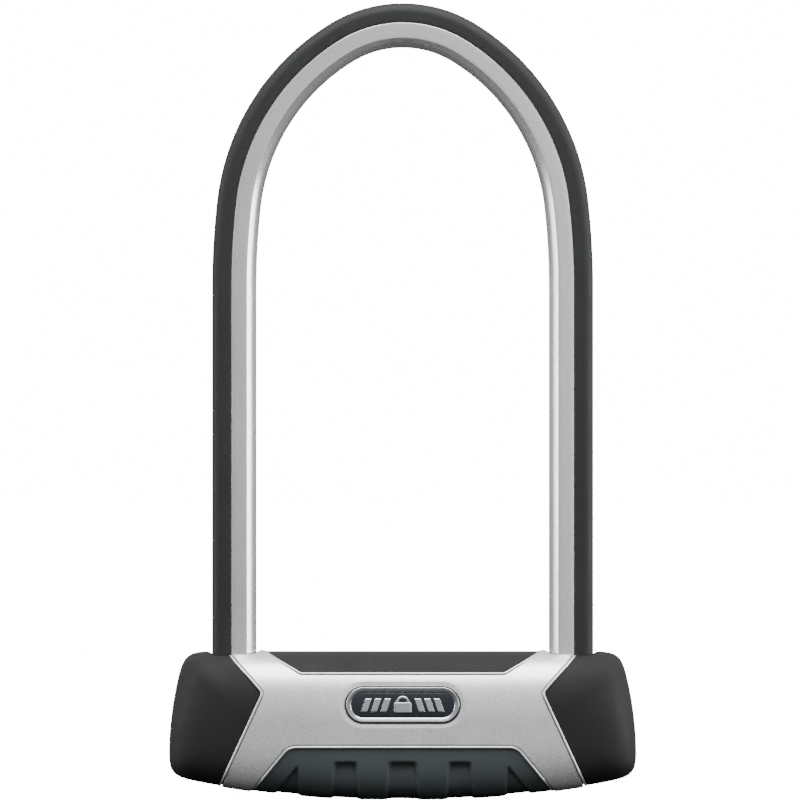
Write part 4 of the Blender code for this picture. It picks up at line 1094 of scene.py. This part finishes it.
class ULOCK_OT_badge(bpy.types.Operator):
    """Oval badge: black ring of painted shade in the groove round it, dished bright rim, dark
    plate, and a padlock sign between bars
    """
    bl_idname = "ulock.badge"
    bl_label = "Badge"

    def execute(self, context):
        base = context.scene.ulock_crossbar.cover_raise
        # black ring round the badge, sunk just under the cover: its black is painted shade of the
        # narrow groove between badge and cover
        groove_shade_section = np.array([(0.0, -1.2), (0.0, -0.18), (0.12, -0.05), (0.50, -0.05), (0.62, -0.18),
                           (0.62, -1.2)]) * MM + [0, base]
        looped("badge_groove_shade_ring", ring_on_skin(BADGE_HALF, BADGE_RADIUS, groove_shade_section), "seal_rubber")
        rim = np.array([(0.56, -0.9), (0.58, 0.16), (0.64, 0.26), (0.76, 0.32), (0.92, 0.32),
                        (1.10, 0.26), (1.55, 0.10), (2.00, -0.08), (2.28, -0.24), (2.46, -0.42),
                        (2.50, -0.9)]) * MM + [0, base]
        looped("badge_rim_dished", ring_on_skin(BADGE_HALF, BADGE_RADIUS, rim), "chrome",
               ("badge_rim",))
        clear = 2.4 * MM
        half, radius = BADGE_HALF - clear, BADGE_RADIUS - clear
        plate_lift = base - 0.40 * MM
        thicken(surface("badge_plate_enamel", [badge_plate(half, radius, plate_lift)],
                        "badge_blue", ("badge_plate",)), 0.4 * MM)
        height = 0.36 * MM
        signs = [raised_shape(round_box(3.3 * MM, 2.0 * MM, 0.45 * MM), (0, -1.0 * MM), plate_lift,
                              height)]
        for side in (-1, 1):
            for step in range(3):
                bar = round_box(1.25 * MM, 2.65 * MM, 0.35 * MM, -side * 0.9 * MM)
                signs.append(raised_shape(bar, (side * (6.4 + 3.6 * step) * MM, -0.15 * MM),
                                          plate_lift, height))
        surface("badge_sign", signs, "chrome", ("badge_emblem",), wrap_columns=True)
        turn = np.linspace(0, math.pi, 33)
        x = 2.05 * MM * np.cos(turn)
        z = BADGE_Z + 0.85 * MM + 2.0 * MM * np.sin(turn)
        path = on_front(x, z, plate_lift)
        outward = skin_normal(path)
        sideways = unit(np.cross(np.gradient(path, axis=0), outward))
        bow = np.array([(-0.55, -0.2), (-0.55, 0.2), (-0.38, 0.36), (0.38, 0.36), (0.55, 0.2),
                        (0.55, -0.2)]) * MM
        surface("badge_sign_bow", [carry(bow, path, sideways, outward, False)], "chrome",
                wrap_columns=True)
        return {"FINISHED"}


# ---- rubber seals ------------------------------------------------------------------------------
def ring_round(centre, half, corner, profile, z):
    """A section carried round a rounded square, which is a circle where the corner is the half."""
    turn = np.linspace(0, math.pi / 2, 17)
    arc = (half - corner) + corner * np.stack([np.cos(turn), np.sin(turn)], -1)
    quarters = [arc @ np.array([[c, s], [-s, c]]) for c, s in ((1, 0), (0, 1), (-1, 0), (0, -1))]
    flat = np.concatenate(quarters)
    flat = resample(np.concatenate([flat, flat[:1]]), 0.4 * MM)[:-1]
    along = unit(around(flat))
    path = np.stack([flat[:, 0] + centre[0], flat[:, 1] + centre[1], np.full(len(flat), z)], -1)
    outward = np.stack([along[:, 1], -along[:, 0], np.zeros(len(flat))], -1)
    up = np.broadcast_to([0.0, 0.0, 1.0], path.shape)
    return carry(profile, path, outward, up, True)


class ULOCK_OT_seals(bpy.types.Operator):
    """Rubber wiper seals round the legs and the ring in the lock cylinder's groove"""
    bl_idname = "ulock.seals"
    bl_label = "Seals"

    def execute(self, context):
        for name in ("socket_seal_left", "socket_seal_right"):
            low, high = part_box(name)
            centre = (low + high) / 2
            tall = high.z - low.z
            outer = (high.y - low.y) / 2 - (HOLE_HALF - 0.1 * MM)
            lip = 0.25 * MM
            section = np.array([(0.0, 0.5 * tall), (0.0, 0.75 * tall), (-lip, 0.95 * tall),
                                (-0.4 * lip, tall), (0.6 * lip, 0.98 * tall),
                                (2 * lip, 0.72 * tall), (outer - lip, 0.66 * tall),
                                (outer, 0.66 * tall - lip), (outer, lip), (outer - lip, 0.0),
                                (lip, 0.0), (0.0, lip)])
            rings = ring_round(centre, HOLE_HALF - 0.1 * MM, HOLE_CORNER, section, low.z)
            looped(name + "_wiper", rings, "seal_rubber", (name,))
        low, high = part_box("cylinder_seal_ring")
        thick = (high.z - low.z) / 2
        turn = np.linspace(0, 2 * math.pi, 25)[:-1]
        section = thick * np.stack([np.cos(turn), np.sin(turn)], -1)
        radius = (high.x - low.x) / 2 - thick
        rings = ring_round((low + high) / 2, radius, radius, section, (low.z + high.z) / 2)
        looped("cylinder_seal_round", rings, "seal_rubber", ("cylinder_seal_ring",))
        return {"FINISHED"}


# ---- CAD nodes that keep their shape ---------------------------------------------------------
class ULOCK_OT_inner_works(bpy.types.Operator):
    """Real finishes for the bar, case, bolts and lock cylinder, which keep their shape"""
    bl_idname = "ulock.inner_works"
    bl_label = "Inner works"

    def execute(self, context):
        for entry in frame["record"]["subparts"]:
            node = frame["nodes"][entry["node"]]
            for slot in node.material_slots:
                slot.material = FINISHES[entry["material_slot"]]
        return {"FINISHED"}


# ---- stage -----------------------------------------------------------------------------------
VIEW_WIDTH = 300.4 * MM        # width of the view at the lock
VIEW_HEIGHT = 149.7 * MM       # height of the view's middle
LENS = 600.0


def soft_light(name, place, aim, size, power):
    """A rectangular softbox at a place, turned to its aim."""
    lamp = bpy.data.lights.new(name, "AREA")
    lamp.shape = "RECTANGLE"
    lamp.size, lamp.size_y = size
    lamp.energy = power
    holder = bpy.data.objects.new(name, lamp)
    holder.location = place
    holder.rotation_mode = "QUATERNION"
    holder.rotation_quaternion = (Vector(aim) - Vector(place)).to_track_quat("-Z", "Y")
    holder.visible_camera = False
    bpy.context.scene.collection.objects.link(holder)


class ULOCK_OT_stage(bpy.types.Operator):
    """White paper floor, soft lights, white room and the camera"""
    bl_idname = "ulock.stage"
    bl_label = "Studio stage"

    def execute(self, context):
        levels = context.scene.ulock_stage
        angle = np.linspace(0, 2 * np.pi, 65)[:-1]
        radius = np.linspace(0, 14.0, 9)[:, None]
        paper = np.stack([radius * np.cos(angle), radius * np.sin(angle),
                          np.zeros((9, 64)) - 0.05 * MM], -1)
        mesh = bpy.data.meshes.new("paper_floor")
        mesh.from_pydata(paper.reshape(-1, 3), [], quads(9, 64, False, True).tolist())
        floor = bpy.data.objects.new("paper_floor", mesh)
        context.scene.collection.objects.link(floor)
        white = bpy.data.materials.new("white_paper")
        white.use_nodes = True
        tree = white.node_tree
        shader = tree.nodes["Principled BSDF"]
        seen = add(tree, "LightPath").outputs["Is Camera Ray"]
        tone = add(tree, "Mix", {0: seen}, data_type="RGBA")
        tone.inputs[6].default_value = (levels.bounce,) * 3 + (1.0,)
        tone.inputs[7].default_value = (*levels.paper, 1.0)
        glow = add(tree, "Math", {0: seen}, operation="MULTIPLY")
        glow.inputs[1].default_value = levels.glow
        tree.links.new(tone.outputs[2], shader.inputs["Base Color"])
        tree.links.new(glow.outputs[0], shader.inputs["Emission Strength"])
        shader.inputs["Emission Color"].default_value = (1, 1, 1, 1)
        shader.inputs["Specular IOR Level"].default_value = 0.0
        shader.inputs["Roughness"].default_value = 0.9
        mesh.materials.append(white)

        world = bpy.data.worlds.new("white_room")
        world.use_nodes = True
        tree = world.node_tree
        seen = add(tree, "LightPath").outputs["Is Camera Ray"]
        way = add(tree, "SeparateXYZ", {0: add(tree, "TexCoord").outputs["Generated"]})
        behind = add(tree, "MapRange", {"Value": way.outputs["Y"]}, From_Min=-1.0, From_Max=1.0,
                     To_Min=levels.room * 0.75, To_Max=levels.room)
        above = add(tree, "MapRange", {"Value": way.outputs["Z"]}, From_Min=0.0, From_Max=1.0,
                    To_Min=0.0, To_Max=levels.room)
        both = add(tree, "Math", {0: behind.outputs[0], 1: above.outputs[0]}, operation="ADD")
        view = add(tree, "Mix", {0: seen, 2: both.outputs[0]}, data_type="FLOAT")
        view.inputs[3].default_value = levels.backdrop
        tree.links.new(view.outputs[0], tree.nodes["Background"].inputs["Strength"])
        tree.nodes["Background"].inputs["Color"].default_value = (1, 1, 1, 1)
        context.scene.world = world

        soft_light("overhead_softbox", (0.0, -0.50, 1.12), (0, 0, 0.05), (1.2, 0.8),
                   levels.overhead)
        soft_light("front_fill", (0.45, -1.5, 0.22), (0, 0, 0.05), (0.9, 0.4), levels.fill)
        soft_light("left_softbox", (-1.2, -0.12, 0.2), (0, 0, 0.13), (0.45, 0.9), levels.left)
        soft_light("right_softbox", (1.2, -0.12, 0.2), (0, 0, 0.13), (0.45, 0.9), levels.right)

        lens = bpy.data.cameras.new("camera")
        lens.lens = LENS
        lens.sensor_width = 36.0
        distance = VIEW_WIDTH * LENS / 36.0
        camera = bpy.data.objects.new("camera", lens)
        camera.location = (-1.0 * MM, -distance, VIEW_HEIGHT)
        camera.rotation_euler = (math.pi / 2, 0, 0)
        context.scene.collection.objects.link(camera)
        context.scene.camera = camera
        return {"FINISHED"}


class ULOCK_PT_panel(bpy.types.Panel):
    """Sizes, finishes and build buttons"""
    bl_idname = "ULOCK_PT_panel"
    bl_label = "U Lock"
    bl_space_type = "VIEW_3D"
    bl_region_type = "UI"
    bl_category = "U Lock"

    def draw(self, context):
        for group in (context.scene.ulock_shackle, context.scene.ulock_crossbar,
                      context.scene.ulock_finish, context.scene.ulock_stage):
            box = self.layout.box()
            for key in group.__annotations__:
                box.prop(group, key)
        for operator in OPERATORS:
            self.layout.operator(operator.bl_idname)


SETTINGS = {"ulock_shackle": ShackleSettings, "ulock_crossbar": CrossbarSettings,
            "ulock_finish": FinishSettings, "ulock_stage": StageSettings}
OPERATORS = (ULOCK_OT_inner_works, ULOCK_OT_shackle, ULOCK_OT_covers, ULOCK_OT_top_strip,
             ULOCK_OT_end_caps, ULOCK_OT_grip, ULOCK_OT_badge, ULOCK_OT_seals,
             ULOCK_OT_stage)


def register():
    """Register every class and hang the settings on the scene."""
    for group in SETTINGS.values():
        bpy.utils.register_class(group)
    for operator in OPERATORS:
        bpy.utils.register_class(operator)
    bpy.utils.register_class(ULOCK_PT_panel)
    for name, group in SETTINGS.items():
        setattr(bpy.types.Scene, name, PointerProperty(type=group))


def unregister():
    """Take everything off again."""
    for name in SETTINGS:
        delattr(bpy.types.Scene, name)
    bpy.utils.unregister_class(ULOCK_PT_panel)
    for operator in reversed(OPERATORS):
        bpy.utils.unregister_class(operator)
    for group in SETTINGS.values():
        bpy.utils.unregister_class(group)


def main():
    """Build every piece in order."""
    register()
    make_finishes(bpy.context.scene.ulock_finish)
    bpy.ops.ulock.inner_works()
    bpy.ops.ulock.shackle()
    bpy.ops.ulock.covers()
    bpy.ops.ulock.top_strip()
    bpy.ops.ulock.end_caps()
    bpy.ops.ulock.grip()
    bpy.ops.ulock.badge()
    bpy.ops.ulock.seals()
    bpy.ops.ulock.stage()


if __name__ == "__main__":
    main()
